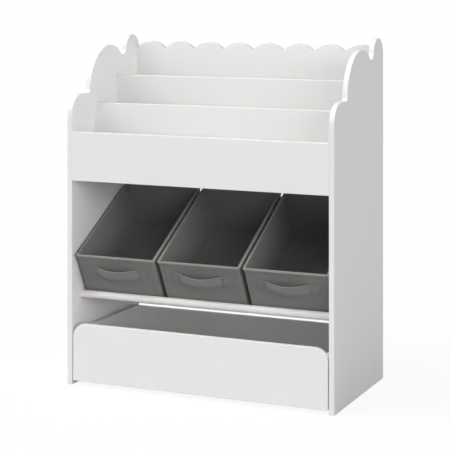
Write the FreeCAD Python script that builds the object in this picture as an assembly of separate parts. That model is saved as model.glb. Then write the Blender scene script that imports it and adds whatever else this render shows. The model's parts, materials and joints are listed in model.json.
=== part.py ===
"""Toy storage organizer: three book tiers, three tilted bins on rails, one rolling drawer.

Millimetres, +Z up. X runs along the width, Y from the open front to the back, and the origin
is on the floor under the middle of the organizer. Each piece is built with Y counted from the
front plane and is moved to the middle when it is written.
"""
import FreeCAD
import Part
import math
import os

V = FreeCAD.Vector
AXIS_X = V(1, 0, 0)
AXIS_Y = V(0, 1, 0)
AXIS_Z = V(0, 0, 1)

# ---------------------------------------------------------------- driving dimensions
WIDTH = 800.0                  # over both side panels
BOARD = 15.0                   # thickness of every board
POCKET = 120.0                 # clear depth of one book tier
TIERS = 3                      # book tiers, one behind the other
TIER_BOARD = 138.0             # height of the lowest tier's front board
TIER_STEP = 73.0               # each tier stands this much above the one in front
TIER_BASE = 577.0              # underside of the lowest tier

FRONT_LOBE_RISE = 104.0        # lobe tops of the side panels, above the first tier board
MIDDLE_LOBE_RISE = 236.0
REAR_LOBE_RISE = 263.0
FRONT_LOBE_RADIUS = 58.0
MIDDLE_FRONT_RADIUS = 128.0    # middle lobe, in front of its peak
MIDDLE_REAR_RADIUS = 97.0      # middle lobe, behind its peak
MIDDLE_PEAK_TO_BACK = 185.0
REAR_LOBE_RADIUS = 43.0
STEP_COVE_RADIUS = 8.0         # hollow between the front and middle lobes
NOTCH_COVE_RADIUS = 20.0       # hollow between the middle and rear lobes

SCALLOPS = 8                   # along the back panel's top edge
SCALLOP_HEIGHT = 22.0
BACK_TOP_DROP = 21.0           # scallop tops below the rear lobe's top

BIN_COUNT = 3
BIN_HEIGHT = 157.0             # to the top of the rim
BIN_WALL = 5.0
BIN_CORNER_RADIUS = 3.0        # of the four upright edges
BIN_INNER_RADIUS = 3.0         # of the hollow's upright edges
RIM_HEIGHT = 8.0               # rolled rim round a bin's mouth
RIM_PROUD = 3.0                # it stands this far out from the walls
RIM_EASING = 2.5               # rounding of its outer edges
BIN_GAP = 7.5                  # between two rims
BIN_LEFT_PLAY = 6.5            # from the left panel to the first bin's rim
BIN_RIGHT_PLAY = 2.0           # from the last bin's rim to the right panel
BIN_TILT = 28.4                # degrees, rear end up
BIN_CORNER_SETBACK = 81.6      # lowest corner of a bin, behind the front plane
BIN_CORNER_HEIGHT = 228.4      # and above the floor
BIN_REAR_GAP = 28.0            # from a bin's rearmost edge to the plane of the back
INSERT_THICKNESS = 2.5         # stiff board laid in the bottom of a bin
INSERT_CLEARANCE = 1.0         # round the insert

HANDLE_LOOP = 130.0            # width of the free loop
HANDLE_TAB = 27.0              # length sewn down at each end
HANDLE_BAND = 30.0             # width of the strap
HANDLE_THICKNESS = 2.4
HANDLE_BULGE = 21.0            # the loop stands this far off the bin
HANDLE_DROP = 49.5             # middle of the strap below the top of the rim

RAIL_DIAMETER = 22.0
RAIL_WALL = 1.2
RAIL_SEAT = 0.3                # between a rail and a bin
RAIL_SOCKET_DEPTH = 6.0        # blind recess in the side panels
RAIL_END_PLAY = 0.3
RAIL_SOCKET_CLEARANCE = 0.1
FRONT_RAIL_LEVEL = 27.0        # up the bins' front from their lowest corner
LOWER_RAIL_REACH = 40.0        # along the bins' bottom from the same corner
UPPER_RAIL_INSET = 61.5        # along the bins' bottom from their rear end

DRAWER_GAP = 3.0               # between the drawer front and a side panel
DRAWER_FLOOR_GAP = 12.0        # under the drawer front
DRAWER_FRONT_HEIGHT = 161.5
DRAWER_CORNER_RADIUS = 38.0    # top corners of the drawer front
DRAWER_BOX_GAP = 5.0           # between the drawer box and a side panel
DRAWER_STOP_GAP = 0.3          # between the closed drawer and the rear stretcher
DRAWER_WALL_DROP = 20.0        # walls end this much below the top of the front
DRAWER_BASE = 9.0              # thickness of the base board
DRAWER_DOWEL_INSET = 26.0      # from the top and the foot of a drawer side
SIDE_SCREW_INSET = 32.0        # likewise, for the screws into the drawer's back
BASE_SCREW_INSET = 25.0        # first screw of the base from the drawer's front and back
BACK_SCREW_SPREAD = 180.0      # screws of the base into the drawer's back, from the middle

STRETCHER_HEIGHT = 100.0       # rear stretcher that braces the panels and stops the drawer
STRETCHER_FLOOR_GAP = 30.0
STRETCHER_INSET = 26.7         # from the plane of the back, for a skirting board

WHEEL_RADIUS = 14.0
WHEEL_WIDTH = 12.0
WHEEL_EDGE = 1.5               # rounding of the tread's edges
WHEEL_HUB_RADIUS = 5.0
WHEEL_DISH = 1.5               # depth of the recess between hub and tread
WHEEL_TREAD = 3.5
AXLE_RADIUS = 2.0
AXLE_CLEARANCE = 0.05          # running fit of the wheel on its axle
AXLE_HEAD_RADIUS = 3.4
AXLE_HEAD = 1.0
BRACKET_STEEL = 1.5
BRACKET_PLATE = 44.0           # length of the caster's plate, front to back
BRACKET_SIDE_PLAY = 0.5        # between the wheel and each cheek
CHEEK_TOP_WIDTH = 20.0         # a cheek narrows from the plate down to the axle
CHEEK_FOOT_WIDTH = 7.0
CHEEK_BELOW_AXLE = 5.0
BRACKET_TOP = 34.0             # top of the plate above the floor
CASTER_INSET = 55.0            # caster centre from the edges of the drawer's base

CAM_RADIUS = 7.5
CAM_DEPTH = 12.0
CAM_DISTANCE = 34.0            # cam centre from the board's end
CAM_BOLT_RADIUS = 3.0
CAM_BOLT_HEAD_RADIUS = 3.6
CAM_BOLT_HEAD = 3.0
CAM_BOLT_GRIP = 11.0           # depth in the side panel
DOWEL_RADIUS = 4.0
DOWEL_IN_PANEL = 10.0
DOWEL_IN_BOARD = 20.0
HOLE_CLEARANCE = 0.1
FIXING_INSET = 32.0            # first fixing from a board's long edge
SCREW_RADIUS = 1.75
SCREW_HEAD_RADIUS = 3.5
SCREW_HEAD = 1.6
SIDE_SCREW_LENGTH = 40.0
BASE_SCREW_LENGTH = 30.0
CASTER_SCREW_LENGTH = 9.0
CASTER_SCREW_INSET = 5.5       # from the plate's ends

# ---------------------------------------------------------------- derived places
DEPTH = TIERS * (POCKET + BOARD) + BOARD
HALF = WIDTH / 2
INNER = HALF - BOARD           # inner face of the right side panel
TIER_TOP = TIER_BASE + TIER_BOARD
HEIGHT = TIER_TOP + REAR_LOBE_RISE
BACK_FRONT = DEPTH - BOARD     # front face of the back panel
BIN_PLAY = BIN_LEFT_PLAY + BIN_RIGHT_PLAY + (BIN_COUNT - 1) * BIN_GAP
BIN_WIDTH = (2 * INNER - BIN_PLAY) / BIN_COUNT     # at the rim
BODY_HALF = BIN_WIDTH / 2 - RIM_PROUD              # from a bin's middle to its outer wall face
BIN_RUN = DEPTH - BIN_CORNER_SETBACK - BIN_REAR_GAP
BIN_LENGTH = BIN_RUN / math.cos(math.radians(BIN_TILT))
HANDLE_LEVEL = BIN_HEIGHT - HANDLE_DROP            # middle of the strap above the bottom
STRETCHER_FRONT = DEPTH - STRETCHER_INSET - BOARD
DRAWER_LENGTH = STRETCHER_FRONT - DRAWER_STOP_GAP  # from the front plane
BOX_HALF = INNER - DRAWER_BOX_GAP
BASE_TOP = BRACKET_TOP + DRAWER_BASE
DRAWER_TOP = DRAWER_FLOOR_GAP + DRAWER_FRONT_HEIGHT
DRAWER_WALL_TOP = DRAWER_TOP - DRAWER_WALL_DROP
WALL_MIDDLE = BOX_HALF - BOARD / 2                 # middle plane of the right drawer side
REAR_MIDDLE = DRAWER_LENGTH - BOARD / 2            # middle plane of the drawer's back
RAIL_RADIUS = RAIL_DIAMETER / 2
RAIL_OFFSET = RAIL_RADIUS + RAIL_SEAT


# ---------------------------------------------------------------- shapes used by many pieces
def block(x0, x1, y0, y1, z0, z1):
    """A box between two corners."""
    return Part.makeBox(x1 - x0, y1 - y0, z1 - z0, V(x0, y0, z0))


def rod(start, axis, radius, length):
    """A round bar from a point along an axis."""
    return Part.makeCylinder(radius, length, start, axis)


def prism(edges, way):
    """A solid pushed out from a closed outline."""
    return Part.Face(Part.Wire(edges)).extrude(way)


def rounded_block(half, y0, y1, z0, z1, radius):
    """A box about X = 0 whose upright edges are rounded."""
    body = block(-half, half, y0, y1, z0, z1)
    upright = [edge for edge in body.Edges if edge.BoundBox.ZLength > (z1 - z0) / 2]
    return body.makeFillet(radius, upright)


def polygon(points):
    """Straight edges through points, closed."""
    ring = points + points[:1]
    return [Part.LineSegment(a, b).toShape() for a, b in zip(ring, ring[1:])]


def arc(centre, radius, start, middle, end, at):
    """An arc in a plane through three angles in degrees; at(u, v) makes the plane's point."""
    points = []
    for angle in (start, middle, end):
        u = centre[0] + radius * math.cos(math.radians(angle))
        v = centre[1] + radius * math.sin(math.radians(angle))
        points.append(at(u, v))
    return Part.Arc(*points).toShape()


def without(body, tools):
    """The body with every tool cut away."""
    return body.cut(Part.makeCompound(tools)) if tools else body


# ---------------------------------------------------------------- side panels
def circle_between(first, first_reach, second, second_reach):
    """The upper of the two points at given distances from two centres."""
    dy = second[0] - first[0]
    dz = second[1] - first[1]
    span = math.hypot(dy, dz)
    along = (first_reach ** 2 - second_reach ** 2 + span ** 2) / (2 * span)
    off = math.sqrt(first_reach ** 2 - along ** 2)
    return (first[0] + (along * dy - off * dz) / span, first[1] + (along * dz + off * dy) / span)


def angle_to(start, end):
    """Direction from one point to another, in degrees from 0 to 360."""
    return math.degrees(math.atan2(end[1] - start[1], end[0] - start[0])) % 360


def side_outline(x):
    """The stepped outline with its three lobes, walked from the front foot to the rear foot."""
    def at(y, z):
        return V(x, y, z)
    front_top = TIER_TOP + FRONT_LOBE_RISE
    peak = DEPTH - MIDDLE_PEAK_TO_BACK
    middle_top = TIER_TOP + MIDDLE_LOBE_RISE
    front_centre = (FRONT_LOBE_RADIUS, front_top - FRONT_LOBE_RADIUS)
    rise_centre = (peak, middle_top - MIDDLE_FRONT_RADIUS)
    fall_centre = (peak, middle_top - MIDDLE_REAR_RADIUS)
    rear_centre = (DEPTH - REAR_LOBE_RADIUS, HEIGHT - REAR_LOBE_RADIUS)
    step_height = front_top + STEP_COVE_RADIUS
    step_reach = MIDDLE_FRONT_RADIUS + STEP_COVE_RADIUS
    step_centre = (peak - math.sqrt(step_reach ** 2 - (step_height - rise_centre[1]) ** 2),
                   step_height)
    notch_centre = circle_between(fall_centre, MIDDLE_REAR_RADIUS + NOTCH_COVE_RADIUS,
                                  rear_centre, REAR_LOBE_RADIUS + NOTCH_COVE_RADIUS)
    step_end = angle_to(step_centre, rise_centre)
    rise_start = angle_to(rise_centre, step_centre)
    fall_end = angle_to(fall_centre, notch_centre)
    notch_start = angle_to(notch_centre, fall_centre)
    notch_end = angle_to(notch_centre, rear_centre)
    notch_end = notch_end if notch_end > notch_start else notch_end + 360
    step_end = step_end if step_end > 270 else step_end + 360
    rear_start = angle_to(rear_centre, notch_centre)
    return [
        Part.LineSegment(at(0, 0), at(0, front_centre[1])).toShape(),
        arc(front_centre, FRONT_LOBE_RADIUS, 180, 135, 90, at),
        Part.LineSegment(at(front_centre[0], front_top), at(step_centre[0], front_top)).toShape(),
        arc(step_centre, STEP_COVE_RADIUS, 270, (270 + step_end) / 2, step_end, at),
        arc(rise_centre, MIDDLE_FRONT_RADIUS, rise_start, (rise_start + 90) / 2, 90, at),
        arc(fall_centre, MIDDLE_REAR_RADIUS, 90, (90 + fall_end) / 2, fall_end, at),
        arc(notch_centre, NOTCH_COVE_RADIUS, notch_start, (notch_start + notch_end) / 2,
            notch_end, at),
        arc(rear_centre, REAR_LOBE_RADIUS, rear_start, rear_start / 2, 0, at),
        Part.LineSegment(at(DEPTH, rear_centre[1]), at(DEPTH, 0)).toShape(),
        Part.LineSegment(at(DEPTH, 0), at(0, 0)).toShape(),
    ]


def side_panel(side):
    """One side panel with the blind holes of its fixings and the sockets of the rails."""
    x = INNER if side > 0 else -HALF
    panel = prism(side_outline(x), V(BOARD, 0, 0))
    holes = []
    for cams, dowels in FIXINGS.values():
        for y, z in cams:
            holes.append(rod(V(side * INNER, y, z), AXIS_X * side,
                             CAM_BOLT_RADIUS + HOLE_CLEARANCE, CAM_BOLT_GRIP))
        for y, z in dowels:
            holes.append(rod(V(side * INNER, y, z), AXIS_X * side,
                             DOWEL_RADIUS + HOLE_CLEARANCE, DOWEL_IN_PANEL))
    for y, z in RAILS.values():
        holes.append(rod(V(side * INNER, y, z), AXIS_X * side,
                         RAIL_RADIUS + RAIL_SOCKET_CLEARANCE, RAIL_SOCKET_DEPTH))
    return without(panel, holes)


# ---------------------------------------------------------------- boards between the panels
def tier_front(tier):
    """Front face of a tier's board, counted from the front plane; tier 0 is the lowest."""
    return tier * (POCKET + BOARD)


def tier_floor_height(tier):
    """Underside of a tier's floor."""
    return TIER_BASE + tier * TIER_STEP


def board_foot(tier):
    """A tier's board reaches down to the floor of the tier in front, to close it."""
    return tier_floor_height(max(tier - 1, 0))


def upright_fixings(y, z0, z1):
    """Cams near the ends of an upright board and a dowel between them."""
    cams = [(y + BOARD / 2, z0 + FIXING_INSET), (y + BOARD / 2, z1 - FIXING_INSET)]
    dowels = [(y + BOARD / 2, (z0 + z1) / 2)]
    return cams, dowels


def floor_fixings(tier):
    """Two dowels in each end of a tier's floor."""
    y0 = tier_front(tier) + BOARD
    z = tier_floor_height(tier) + BOARD / 2
    return [], [(y0 + FIXING_INSET, z), (y0 + POCKET - FIXING_INSET, z)]


def tier_top(tier):
    """Top edge of a tier's board."""
    return TIER_TOP + tier * TIER_STEP


BACK_TOP = HEIGHT - BACK_TOP_DROP
BACK_VALLEY = BACK_TOP - SCALLOP_HEIGHT
STRETCHER_TOP = STRETCHER_FLOOR_GAP + STRETCHER_HEIGHT

FIXINGS = {"back_panel": upright_fixings(BACK_FRONT, TIER_BASE, BACK_VALLEY),
           "rear_stretcher": upright_fixings(STRETCHER_FRONT, STRETCHER_FLOOR_GAP, STRETCHER_TOP)}
for number in range(TIERS):
    FIXINGS["tier_%d_board" % (number + 1)] = upright_fixings(
        tier_front(number), board_foot(number), tier_top(number))
    FIXINGS["tier_%d_floor" % (number + 1)] = floor_fixings(number)


def drilled(name, board):
    """A board with the bores for its bolts and dowels and the pockets for its cams."""
    cams, dowels = FIXINGS[name]
    tools = []
    for side in (-1, 1):
        for y, z in cams:
            tools += cam_tools(V(side * INNER, y, z), AXIS_X * side, AXIS_Y)
        for y, z in dowels:
            tools.append(rod(V(side * INNER, y, z), AXIS_X * -side,
                             DOWEL_RADIUS + HOLE_CLEARANCE, DOWEL_IN_BOARD))
    return without(board, tools)


def tier_board(tier):
    """The upright board that holds the books of one tier from the front."""
    y = tier_front(tier)
    board = block(-INNER, INNER, y, y + BOARD, board_foot(tier), tier_top(tier))
    return drilled("tier_%d_board" % (tier + 1), board)


def tier_floor(tier):
    """The board that the books of one tier stand on."""
    y = tier_front(tier) + BOARD
    z = tier_floor_height(tier)
    board = block(-INNER, INNER, y, y + POCKET, z, z + BOARD)
    return drilled("tier_%d_floor" % (tier + 1), board)


def back_panel():
    """The back of the tiers, whose top edge is a row of equal scallops."""
    def at(x, z):
        return V(x, BACK_FRONT, z)
    pitch = 2 * INNER / SCALLOPS
    edges = [Part.LineSegment(at(INNER, BACK_VALLEY), at(INNER, TIER_BASE)).toShape(),
             Part.LineSegment(at(INNER, TIER_BASE), at(-INNER, TIER_BASE)).toShape(),
             Part.LineSegment(at(-INNER, TIER_BASE), at(-INNER, BACK_VALLEY)).toShape()]
    for step in range(SCALLOPS):
        x = -INNER + step * pitch
        edges.append(Part.Arc(at(x, BACK_VALLEY), at(x + pitch / 2, BACK_TOP),
                              at(x + pitch, BACK_VALLEY)).toShape())
    return drilled("back_panel", prism(edges, V(0, BOARD, 0)))


def rear_stretcher():
    """A low board at the back that braces the panels and stops the drawer."""
    board = block(-INNER, INNER, STRETCHER_FRONT, STRETCHER_FRONT + BOARD,
                  STRETCHER_FLOOR_GAP, STRETCHER_TOP)
    return drilled("rear_stretcher", board)


# ---------------------------------------------------------------- hidden fixings
def all_fixings(kind):
    """Every cam joint (kind 0) or dowel joint (kind 1) of the cabinet, with the way out."""
    for pair in FIXINGS.values():
        for y, z in pair[kind]:
            for side in (-1, 1):
                yield V(side * INNER, y, z), AXIS_X * side


def cam_nut(joint, way, face):
    """A round cam in its pocket. joint is the middle of the board's end, way points out of that
    end, and face out of the pocket. The cam is open towards the end for the bolt's head."""
    middle = joint - way * CAM_DISTANCE
    nut = rod(middle + face * (BOARD / 2), -face, CAM_RADIUS, CAM_DEPTH)
    mouth = rod(middle - way * CAM_BOLT_HEAD, way, CAM_BOLT_HEAD_RADIUS + HOLE_CLEARANCE,
                CAM_RADIUS + CAM_BOLT_HEAD)
    return nut.cut(mouth)


def cam_bolt(joint, way):
    """A bolt held past the joint, with its head in the cam."""
    shank = rod(joint + way * CAM_BOLT_GRIP, -way, CAM_BOLT_RADIUS, CAM_BOLT_GRIP + CAM_DISTANCE)
    head = rod(joint - way * (CAM_DISTANCE - CAM_BOLT_HEAD), -way,
               CAM_BOLT_HEAD_RADIUS, CAM_BOLT_HEAD)
    return shank.fuse(head)


def dowel(joint, way):
    """A plain wooden dowel across the joint."""
    return rod(joint + way * DOWEL_IN_PANEL, -way, DOWEL_RADIUS, DOWEL_IN_PANEL + DOWEL_IN_BOARD)


def cam_tools(joint, way, face):
    """What a cam and its bolt take out of their board."""
    return [rod(joint, -way, CAM_BOLT_HEAD_RADIUS + HOLE_CLEARANCE, CAM_DISTANCE),
            rod(joint - way * CAM_DISTANCE + face * (BOARD / 2), -face,
                CAM_RADIUS + HOLE_CLEARANCE, CAM_DEPTH)]


def pan_screw(seat, way, length):
    """A pan-head screw that goes in along a way from its seat."""
    shank = rod(seat, way, SCREW_RADIUS, length)
    return shank.fuse(rod(seat, -way, SCREW_HEAD_RADIUS, SCREW_HEAD))


def screw_hole(start, way, length):
    """The bore of such a screw."""
    return rod(start, way, SCREW_RADIUS + HOLE_CLEARANCE, length)


# ---------------------------------------------------------------- bins and their rails
def in_bin(along, up):
    """(y, z) of a place in a bin's side view: along its bottom and square up from it."""
    tilt = math.radians(BIN_TILT)
    y = BIN_CORNER_SETBACK + along * math.cos(tilt) - up * math.sin(tilt)
    z = BIN_CORNER_HEIGHT + along * math.sin(tilt) + up * math.cos(tilt)
    return y, z


RAILS = {"front_bin_rail": in_bin(-RAIL_OFFSET, FRONT_RAIL_LEVEL),
         "lower_bin_rail": in_bin(LOWER_RAIL_REACH, -RAIL_OFFSET),
         "upper_bin_rail": in_bin(BIN_LENGTH - UPPER_RAIL_INSET, -RAIL_OFFSET)}


def bin_rail(name):
    """A tube whose ends sit in blind sockets of the side panels."""
    y, z = RAILS[name]
    half = INNER + RAIL_SOCKET_DEPTH - RAIL_END_PLAY
    tube = rod(V(-half, y, z), AXIS_X, RAIL_RADIUS, 2 * half)
    bore = rod(V(-half, y, z), AXIS_X, RAIL_RADIUS - RAIL_WALL, 2 * half)
    return tube.cut(bore)


def bin_middle(index):
    """X of a bin's middle plane."""
    return -INNER + BIN_LEFT_PLAY + BIN_WIDTH / 2 + index * (BIN_WIDTH + BIN_GAP)


def tilted(shape, index):
    """A shape made level at the origin, set on the rails in its bin's place."""
    shape.rotate(V(0, 0, 0), AXIS_X, BIN_TILT)
    shape.translate(V(bin_middle(index), BIN_CORNER_SETBACK, BIN_CORNER_HEIGHT))
    return shape


def bin_shell(index):
    """An open box with rounded upright edges and a rolled rim that stands out all round."""
    outer = rounded_block(BODY_HALF, 0, BIN_LENGTH, 0, BIN_HEIGHT - RIM_EASING, BIN_CORNER_RADIUS)
    rim = rounded_block(BIN_WIDTH / 2, -RIM_PROUD, BIN_LENGTH + RIM_PROUD,
                        BIN_HEIGHT - RIM_HEIGHT, BIN_HEIGHT, BIN_CORNER_RADIUS + RIM_PROUD)
    level = [edge for edge in rim.Edges if edge.BoundBox.ZLength < RIM_HEIGHT / 2]
    rim = rim.makeFillet(RIM_EASING, level)
    inner = rounded_block(BODY_HALF - BIN_WALL, BIN_WALL, BIN_LENGTH - BIN_WALL,
                          BIN_WALL, BIN_HEIGHT, BIN_INNER_RADIUS)
    return tilted(outer.fuse(rim).cut(inner).removeSplitter(), index)


def bin_insert(index):
    """The stiff board that keeps a bin's bottom flat."""
    edge = BIN_WALL + INSERT_CLEARANCE
    board = rounded_block(BODY_HALF - edge, edge, BIN_LENGTH - edge,
                          BIN_WALL, BIN_WALL + INSERT_THICKNESS, BIN_INNER_RADIUS)
    return tilted(board, index)


def bin_handle(index):
    """A strap sewn flat at both ends, whose middle bows away from the bin's front."""
    half = HANDLE_LOOP / 2
    low = HANDLE_LEVEL - HANDLE_BAND / 2
    thick = HANDLE_THICKNESS

    def at(x, out):
        return V(x, -out, low)
    inner_bulge = HANDLE_BULGE - thick
    tab = half + HANDLE_TAB
    edges = [
        Part.LineSegment(at(-tab, 0), at(-half, 0)).toShape(),
        Part.Arc(at(-half, 0), at(0, inner_bulge), at(half, 0)).toShape(),
        Part.LineSegment(at(half, 0), at(tab, 0)).toShape(),
        Part.LineSegment(at(tab, 0), at(tab, thick)).toShape(),
        Part.LineSegment(at(tab, thick), at(half, thick)).toShape(),
        Part.Arc(at(half, thick), at(0, HANDLE_BULGE), at(-half, thick)).toShape(),
        Part.LineSegment(at(-half, thick), at(-tab, thick)).toShape(),
        Part.LineSegment(at(-tab, thick), at(-tab, 0)).toShape(),
    ]
    return tilted(prism(edges, V(0, 0, HANDLE_BAND)), index)


# ---------------------------------------------------------------- drawer
CASTERS = {"front_left": (-1, 0), "front_right": (1, 0), "rear_left": (-1, 1), "rear_right": (1, 1)}


def drawer_cam_joint(side):
    """Middle of a drawer side's front end, where its cam bolt enters the front."""
    return V(side * WALL_MIDDLE, BOARD, (BASE_TOP + DRAWER_WALL_TOP) / 2)


def drawer_dowel_joints(side):
    """Where the two dowels of a drawer side enter the front."""
    return [V(side * WALL_MIDDLE, BOARD, z)
            for z in (BASE_TOP + DRAWER_DOWEL_INSET, DRAWER_WALL_TOP - DRAWER_DOWEL_INSET)]


def side_screw_seats(side):
    """Outer ends of the two screws through a drawer side into the back."""
    return [V(side * BOX_HALF, REAR_MIDDLE, z)
            for z in (BASE_TOP + SIDE_SCREW_INSET, DRAWER_WALL_TOP - SIDE_SCREW_INSET)]


def base_screws_in_side(side):
    """Lower ends of the screws through the base into a drawer side."""
    ends = (BOARD + BASE_SCREW_INSET, DRAWER_LENGTH - BASE_SCREW_INSET)
    return [V(side * WALL_MIDDLE, y, BRACKET_TOP) for y in ends]


def base_screws_in_back():
    """Lower ends of the screws through the base into the drawer's back."""
    return [V(side * BACK_SCREW_SPREAD, REAR_MIDDLE, BRACKET_TOP) for side in (-1, 1)]


def all_base_screws():
    """Lower ends of all screws of the base."""
    return base_screws_in_side(-1) + base_screws_in_side(1) + base_screws_in_back()


def drawer_front():
    """The drawer's face board with two rounded top corners and blind holes in its rear."""
    half = INNER - DRAWER_GAP
    inset = half - DRAWER_CORNER_RADIUS
    shoulder = DRAWER_TOP - DRAWER_CORNER_RADIUS

    def at(x, z):
        return V(x, 0, z)
    edges = [
        Part.LineSegment(at(-half, DRAWER_FLOOR_GAP), at(-half, shoulder)).toShape(),
        arc((-inset, shoulder), DRAWER_CORNER_RADIUS, 180, 135, 90, at),
        Part.LineSegment(at(-inset, DRAWER_TOP), at(inset, DRAWER_TOP)).toShape(),
        arc((inset, shoulder), DRAWER_CORNER_RADIUS, 90, 45, 0, at),
        Part.LineSegment(at(half, shoulder), at(half, DRAWER_FLOOR_GAP)).toShape(),
        Part.LineSegment(at(half, DRAWER_FLOOR_GAP), at(-half, DRAWER_FLOOR_GAP)).toShape(),
    ]
    holes = []
    for side in (-1, 1):
        holes.append(rod(drawer_cam_joint(side), -AXIS_Y, CAM_BOLT_RADIUS + HOLE_CLEARANCE,
                         CAM_BOLT_GRIP))
        for joint in drawer_dowel_joints(side):
            holes.append(rod(joint, -AXIS_Y, DOWEL_RADIUS + HOLE_CLEARANCE, DOWEL_IN_PANEL))
    return without(prism(edges, V(0, BOARD, 0)), holes)


def drawer_side(side):
    """A side board of the drawer, with its cam pocket on the outside."""
    near, far = sorted((side * (BOX_HALF - BOARD), side * BOX_HALF))
    board = block(near, far, BOARD, DRAWER_LENGTH, BASE_TOP, DRAWER_WALL_TOP)
    tools = cam_tools(drawer_cam_joint(side), -AXIS_Y, AXIS_X * side)
    for joint in drawer_dowel_joints(side):
        tools.append(rod(joint, AXIS_Y, DOWEL_RADIUS + HOLE_CLEARANCE, DOWEL_IN_BOARD))
    for seat in side_screw_seats(side):
        tools.append(screw_hole(seat, AXIS_X * -side, BOARD))
    for seat in base_screws_in_side(side):
        tools.append(screw_hole(seat, AXIS_Z, BASE_SCREW_LENGTH))
    return without(board, tools)


def drawer_back():
    """The drawer's rear board, between its sides."""
    half = BOX_HALF - BOARD
    board = block(-half, half, DRAWER_LENGTH - BOARD, DRAWER_LENGTH, BASE_TOP, DRAWER_WALL_TOP)
    tools = [screw_hole(seat, AXIS_X * -side, SIDE_SCREW_LENGTH)
             for side in (-1, 1) for seat in side_screw_seats(side)]
    tools += [screw_hole(seat, AXIS_Z, BASE_SCREW_LENGTH) for seat in base_screws_in_back()]
    return without(board, tools)


def drawer_base():
    """The drawer's bottom, under its sides and back, with the holes of its screws."""
    board = block(-BOX_HALF, BOX_HALF, BOARD, DRAWER_LENGTH, BRACKET_TOP, BASE_TOP)
    grip = CASTER_SCREW_LENGTH - BRACKET_STEEL
    tools = [screw_hole(V(x, y, BRACKET_TOP), AXIS_Z, grip) for x, y in caster_screw_places()]
    tools += [screw_hole(seat, AXIS_Z, DRAWER_BASE) for seat in all_base_screws()]
    return without(board, tools)


# ---------------------------------------------------------------- casters
CHEEK_IN = WHEEL_WIDTH / 2 + BRACKET_SIDE_PLAY
CHEEK_OUT = CHEEK_IN + BRACKET_STEEL


def caster_place(corner):
    """(x, y) of the middle of a caster."""
    side, rear = CASTERS[corner]
    y = DRAWER_LENGTH - CASTER_INSET if rear else BOARD + CASTER_INSET
    return side * (BOX_HALF - CASTER_INSET), y


def caster_screw_places():
    """(x, y) of the two screws of every caster."""
    reach = BRACKET_PLATE / 2 - CASTER_SCREW_INSET
    return [(x, y + way * reach) for x, y in map(caster_place, CASTERS) for way in (-1, 1)]


def caster_bracket(corner):
    """A bent steel bracket: a plate under the base and two cheeks that hold the axle."""
    x, y = caster_place(corner)
    plate_under = BRACKET_TOP - BRACKET_STEEL
    cheek_foot = WHEEL_RADIUS - CHEEK_BELOW_AXLE
    half = BRACKET_PLATE / 2
    plate = block(x - CHEEK_OUT, x + CHEEK_OUT, y - half, y + half, plate_under, BRACKET_TOP)
    bracket = plate
    for near in (x - CHEEK_OUT, x + CHEEK_IN):
        outline = polygon([V(near, y - CHEEK_TOP_WIDTH / 2, plate_under),
                           V(near, y + CHEEK_TOP_WIDTH / 2, plate_under),
                           V(near, y + CHEEK_FOOT_WIDTH / 2, cheek_foot),
                           V(near, y - CHEEK_FOOT_WIDTH / 2, cheek_foot)])
        bracket = bracket.fuse(prism(outline, V(BRACKET_STEEL, 0, 0)))
    holes = [rod(V(x - CHEEK_OUT, y, WHEEL_RADIUS), AXIS_X, AXLE_RADIUS + AXLE_CLEARANCE,
                 2 * CHEEK_OUT)]
    for way in (-1, 1):
        place = V(x, y + way * (half - CASTER_SCREW_INSET), plate_under)
        holes.append(rod(place, AXIS_Z, SCREW_RADIUS + HOLE_CLEARANCE, BRACKET_STEEL))
    return without(bracket, holes)


def caster_axle(corner):
    """A rivet through the cheeks, headed at both ends."""
    x, y = caster_place(corner)
    axle = rod(V(x - CHEEK_OUT, y, WHEEL_RADIUS), AXIS_X, AXLE_RADIUS, 2 * CHEEK_OUT)
    for side in (-1, 1):
        axle = axle.fuse(rod(V(x + side * CHEEK_OUT, y, WHEEL_RADIUS), AXIS_X * side,
                             AXLE_HEAD_RADIUS, AXLE_HEAD))
    return axle


def caster_wheel(corner):
    """A wheel with a hub, a dished web and a rounded tread, turned about its axle."""
    x, y = caster_place(corner)
    half = WHEEL_WIDTH / 2
    bore = AXLE_RADIUS + AXLE_CLEARANCE
    rim = WHEEL_RADIUS - WHEEL_TREAD
    web = half - WHEEL_DISH
    corner_out = WHEEL_RADIUS - WHEEL_EDGE
    corner_in = half - WHEEL_EDGE
    places = [(-half, bore), (-half, WHEEL_HUB_RADIUS), (-web, WHEEL_HUB_RADIUS), (-web, rim),
              (-half, rim), (-half, corner_out), (-corner_in, WHEEL_RADIUS),
              (corner_in, WHEEL_RADIUS), (half, corner_out), (half, rim), (web, rim),
              (web, WHEEL_HUB_RADIUS), (half, WHEEL_HUB_RADIUS), (half, bore)]
    centre = V(x, y, WHEEL_RADIUS)
    points = [centre + V(across, 0, out) for across, out in places]
    face = Part.Face(Part.Wire(polygon(points)))
    return face.revolve(centre, AXIS_X, 360)


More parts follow.
